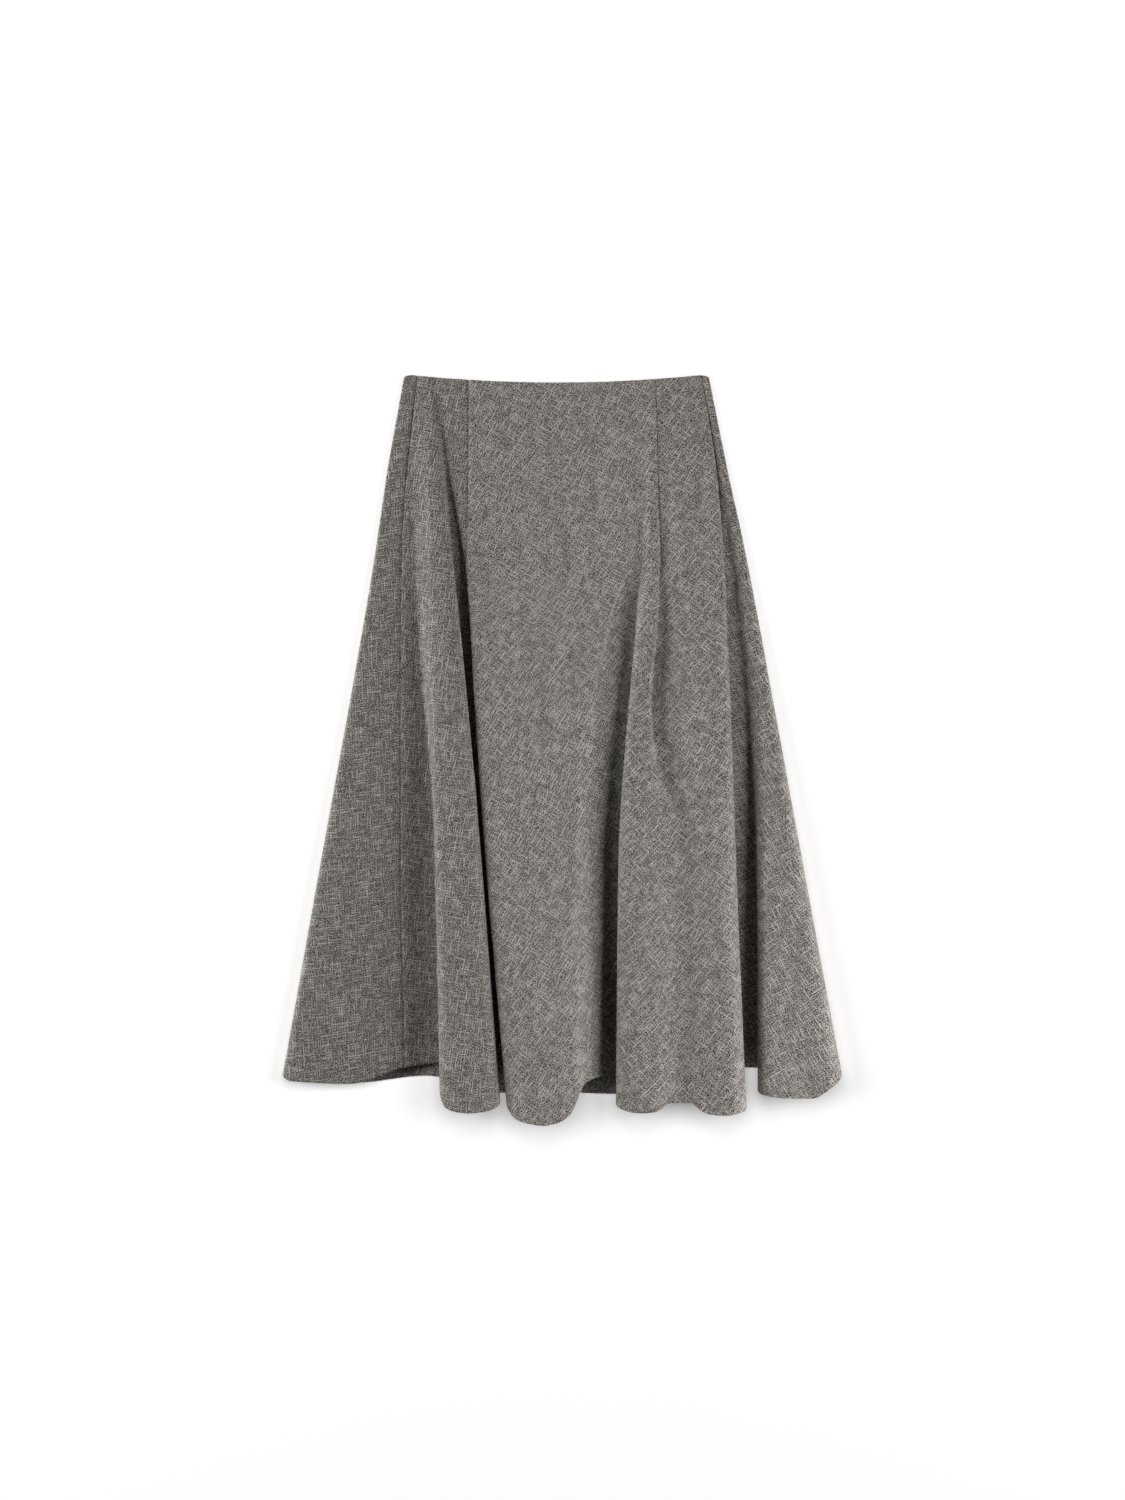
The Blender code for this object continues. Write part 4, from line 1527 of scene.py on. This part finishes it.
@dataclass(frozen=True)
class ZipClosure:
    """A closed concealed zip: its tape, coil, bottom stop and slider, on the inside of the back."""

    middle: float = -7.0
    top_drop: float = 6.0
    length: float = 200.0
    width: float = 24.0
    low: float = 1.8
    tape: float = 0.5
    tape_ribs: int = 48
    rib_depth: float = 0.06
    coil_radius: float = 0.3
    coil_overlap: float = 0.5
    coil_spread: float = 2.2
    tooth_pitch: float = 1.5
    tooth_length: float = 0.6
    slider_drop: float = 1.0
    slider_length: float = 7.0
    slider_reach: float = 3.2
    stop_length: float = 3.0
    stop_reach: float = 2.6
    metal_height: float = 1.2
    metal_gap: float = 0.02
    tape_finish: ZipFinish = ZipFinish((0.055, 0.051, 0.047), 0.85)
    coil_finish: ZipFinish = ZipFinish((0.085, 0.080, 0.074), 0.45)
    metal_finish: ZipFinish = ZipFinish((0.28, 0.27, 0.26), 0.35, 1.0)

    def build(self) -> list[bpy.types.Object]:
        """Makes the tape, the coil, and the slider with the stop."""
        return [part.build() for part in (self.woven_tape(), self.coil(), self.metal())]

    def woven_tape(self) -> ZipPart:
        """The tape, ribbed across its width.

        Returns:
            The part.
        """
        part = ZipPart("zip_tape_woven", self.tape_finish)
        top = self.top_drop
        end = top + self.length
        for i in range(self.tape_ribs + 1):
            x = self.middle - self.width / 2 + self.width * i / self.tape_ribs
            lift = self.low + self.tape - (self.rib_depth if i % 2 else 0.0)
            for drop in (top, end):
                part.points += [(x, -drop, lift), (x, -drop, self.low)]
        for i in range(self.tape_ribs):
            a = 4 * i
            b = a + 4
            part.faces += [
                (a, a + 2, b + 2, b),
                (a + 1, b + 1, b + 3, a + 3),
                (a, b, b + 1, a + 1),
                (a + 2, a + 3, b + 3, b + 2),
            ]
        part.faces += [(0, 1, 3, 2), (b, b + 2, b + 3, b + 1)]
        return part

    def coil(self) -> ZipPart:
        """The closed coil, as teeth that reach past the middle from both sides.

        Returns:
            The part.
        """
        part = ZipPart("zip_coil_teeth", self.coil_finish)
        teeth = int((self.length - 2 * self.slider_length) / self.tooth_pitch)
        floor = self.low + self.tape
        for i in range(teeth):
            drop = self.top_drop + self.slider_length + i * self.tooth_pitch
            for side in (-1, 1):
                shift = drop + (self.tooth_pitch / 2 if side > 0 else 0.0)
                inner = self.middle - side * self.coil_overlap
                outer = self.middle + side * self.coil_spread
                part.add_block(
                    (min(inner, outer), max(inner, outer)),
                    (shift, shift + self.tooth_length),
                    (floor, floor + 2 * self.coil_radius),
                )
        return part

    def metal(self) -> ZipPart:
        """The slider at the top and the stop at the bottom.

        Returns:
            The part.
        """
        part = ZipPart("zip_slider_and_stop", self.metal_finish)
        end = self.top_drop + self.length
        slider = (self.top_drop + self.slider_drop, self.slider_length, self.slider_reach)
        stop = (end - 2 * self.stop_length, self.stop_length, self.stop_reach)
        for drop, length, reach in (slider, stop):
            part.add_block(
                (self.middle - reach, self.middle + reach),
                (drop, drop + length),
                (self.low + self.tape + self.metal_gap, self.low + self.metal_height),
            )
        return part


class Lit(Enum):
    """What a lamp lights."""

    SKIRT = "skirt"
    SURFACE = "surface"


@dataclass(frozen=True)
class Softbox:
    """A square lamp that faces the middle of the skirt."""

    name: str
    lit: Lit
    turn: float  # direction it stands in, anticlockwise from the viewer's right, in degrees
    climb: float  # height above the surface as seen from the skirt, in degrees
    distance: float
    size: float
    strength: float  # share of a flat white surface's full brightness that a small one gives

    def build(self, receivers: bpy.types.Collection) -> None:
        """Makes the lamp.

        Args:
            receivers: The collection that leaves out what this lamp doesn't light.
        """
        climb = math.radians(self.climb)
        turn = math.radians(self.turn)
        lamp = bpy.data.lights.new(self.name, "AREA")
        lamp.size = self.size
        lamp.energy = self.strength * (math.pi * self.distance) ** 2 / math.sin(climb)
        made = bpy.data.objects.new(self.name, lamp)
        level = self.distance * math.cos(climb)
        made.location = (level * math.cos(turn), level * math.sin(turn), self.distance * math.sin(climb))
        made.rotation_euler = (math.pi / 2 - climb, 0.0, turn + math.pi / 2)
        made.light_linking.receiver_collection = receivers
        bpy.context.scene.collection.objects.link(made)


@dataclass(frozen=True)
class Studio:
    """A white surface, soft light and a camera straight above. Lengths are in metres."""

    surface: float = 6.0
    surface_drop: float = 0.0002
    surface_white: tuple = (0.95, 0.95, 0.95, 1.0)
    surface_roughness: float = 0.95
    white: tuple = (1.0, 1.0, 1.0, 1.0)
    surface_glow: float = 0.215
    ambient: float = 0.03
    camera_height: float = 6.0
    seen_length: float = 1.65
    sensor: float = 36.0  # millimetres
    centre: tuple = (0.00045, -0.001)
    farthest: float = 50.0
    lamps: tuple = (
        Softbox("right_softbox", Lit.SKIRT, -20.0, 26.0, 1.4, 0.8, 0.367),
        Softbox("left_softbox", Lit.SKIRT, 158.0, 20.0, 3.2, 1.8, 0.333),
        Softbox("surface_softbox", Lit.SURFACE, 90.0, 72.0, 8.0, 6.0, 0.43),
        Softbox("surface_overhead", Lit.SURFACE, 90.0, 89.9, 7.0, 16.0, 0.12),
        Softbox("surface_from_left", Lit.SURFACE, 180.0, 40.0, 3.2, 1.7, 0.245),
        Softbox("surface_from_right", Lit.SURFACE, 0.0, 40.0, 3.2, 1.7, 0.245),
    )

    def build(self, skirt: Sequence[bpy.types.Object]) -> None:
        """Sets the surface, the lights, the world and the camera.

        Args:
            skirt: The pieces of the skirt, which have their own lamps.
        """
        bpy.context.scene.view_settings.view_transform = "Standard"
        self._world()
        floor = self._surface()
        receivers = {
            Lit.SKIRT: self._left_out("surface has its own lamp", [floor]),
            Lit.SURFACE: self._left_out("skirt has its own lamps", skirt),
        }
        for lamp in self.lamps:
            lamp.build(receivers[lamp.lit])
        self._camera()

    def _world(self) -> None:
        """Sets the faint even light of the room."""
        world = bpy.data.worlds.new("soft room")
        world.use_nodes = True
        background = world.node_tree.nodes["Background"]
        background.inputs["Color"].default_value = self.white
        background.inputs["Strength"].default_value = self.ambient
        bpy.context.scene.world = world

    def _camera(self) -> None:
        """Hangs the camera over the skirt, looking straight down."""
        lens = bpy.data.cameras.new("camera above")
        lens.sensor_width = self.sensor
        lens.lens = self.sensor * self.camera_height / self.seen_length
        lens.clip_end = self.farthest
        camera = bpy.data.objects.new("camera above", lens)
        camera.location = (*self.centre, self.camera_height)
        bpy.context.scene.collection.objects.link(camera)
        bpy.context.scene.camera = camera

    @staticmethod
    def _left_out(name: str, objects: Sequence[bpy.types.Object]) -> bpy.types.Collection:
        """A collection of objects that a lamp leaves out.

        Args:
            name: Name of the collection.
            objects: The objects.

        Returns:
            The collection.
        """
        made = bpy.data.collections.new(name)
        for thing in objects:
            made.objects.link(thing)
        for entry in made.collection_objects:
            entry.light_linking.link_state = "EXCLUDE"
        return made

    def _surface(self) -> bpy.types.Object:
        """The white surface that the skirt lies on, with a faint glow of its own.

        Returns:
            The surface.
        """
        half = self.surface / 2
        signs = ((-1, -1), (1, -1), (1, 1), (-1, 1))
        corners = [(half * x, half * y, -self.surface_drop) for x, y in signs]
        mesh = bpy.data.meshes.new("table_surface")
        mesh.from_pydata(corners, [], [(0, 1, 2, 3)])
        floor = bpy.data.objects.new("table_surface", mesh)
        bpy.context.scene.collection.objects.link(floor)
        material = bpy.data.materials.new("white light table")
        material.use_nodes = True
        shader = material.node_tree.nodes["Principled BSDF"]
        shader.inputs["Base Color"].default_value = self.surface_white
        shader.inputs["Roughness"].default_value = self.surface_roughness
        shader.inputs["Specular IOR Level"].default_value = 0.0
        shader.inputs["Emission Color"].default_value = self.white
        shader.inputs["Emission Strength"].default_value = self.surface_glow
        mesh.materials.append(material)
        return floor


ON_LEFT = ("back_left_gore_cloth",)
ON_RIGHT = ("back_right_gore_cloth",)
# All panels are one wool. The yarn contrast below 1.0 on every panel but the front centre gore is painted
# light: it copies how weakly the light shows the yarns there and makes those panels a little darker.
PANELS = (
    ClothPanel("back_left_gore", Seam.BACK_FROM_LEFT, Seam.LEFT_SIDE, 12.0, melange_with_painted_light=0.35),
    ClothPanel("front_left_gore", Seam.LEFT_SIDE, Seam.LEFT_GODET_LEFT, 80.0, 0.0, ON_LEFT, 0.37),
    ClothPanel("godet_left", Seam.LEFT_GODET_LEFT, Seam.LEFT_GODET_RIGHT, 86.0, 0.254, ON_LEFT, 0.37),
    ClothPanel("front_centre_gore", Seam.LEFT_GODET_RIGHT, Seam.RIGHT_GODET_LEFT, 61.0, 0.0, ON_LEFT),
    ClothPanel("godet_right", Seam.RIGHT_GODET_LEFT, Seam.RIGHT_GODET_RIGHT, 46.0, 0.254, ON_RIGHT, 0.52),
    ClothPanel("front_right_gore", Seam.RIGHT_GODET_RIGHT, Seam.RIGHT_SIDE, 50.0, 0.0, ON_RIGHT, 0.52),
    ClothPanel("back_right_gore", Seam.RIGHT_SIDE, Seam.BACK_FROM_RIGHT, 110.0, melange_with_painted_light=0.5),
)

CREASES = rows_of(
    Crease,
    ("front_left_gore", -142, 384, -117, 383, 0.5, 4.5),
    ("back_left_gore", -273, 569, -218, 557, 0.6, 6.0),
    ("back_left_gore", -282, 696, -196, 690, 0.5, 7.0),
    ("back_left_gore", -198, 118, -166, 122, 0.45, 6.0),
    ("front_centre_gore", -66, 102, -40, 113, 0.5, 5.0),
    ("front_centre_gore", -25, 604, 18, 598, 0.4, 8.0),
    ("front_right_gore", 136, 668, 192, 634, 0.6, 8.0),
    ("back_right_gore", 225, 520, 262, 498, 0.45, 8.0),
)


def build_cloth() -> list[bpy.types.Object]:
    """Makes the panels of the skirt and dresses them.

    Returns:
        The panels' shells.
    """
    skirt = Skirt(SkirtForm())
    work = SeamWork()
    softness = Softness(creases=CREASES)
    wool = Wool()
    yarns = YarnWeave().group()
    pieces = []
    for panel in PANELS:
        grid = panel.grid(skirt, work)
        made = panel.build(grid, work, softness)
        made.data.materials.append(wool.material(panel.name + "_wool", panel.grain, panel.melange_with_painted_light, yarns))
        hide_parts(panel.name)
        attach(made, "root")
        flat = grid.flat_size()
        area = grid.flat_area()
        LOG.info("%s: %d faces, flat %.3f x %.3f m, %.4f m2", made.name, len(made.data.polygons), *flat, area)
        pieces.append(made)
    return pieces


def build_zip() -> list[bpy.types.Object]:
    """Makes the parts of the zip and dresses them.

    Returns:
        The tape, the coil and the metal parts.
    """
    pieces = ZipClosure().build()
    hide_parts("back_zip")
    for made in pieces:
        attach(made, "root")
        LOG.info("%s: %d faces", made.name, len(made.data.polygons))
    return pieces


def main() -> None:
    """Builds the skirt, its finishes and the studio round it."""
    logging.basicConfig(level=logging.INFO, format="%(message)s")
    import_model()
    pieces = build_cloth() + build_zip()
    Studio().build(pieces)


if __name__ == "__main__":
    main()
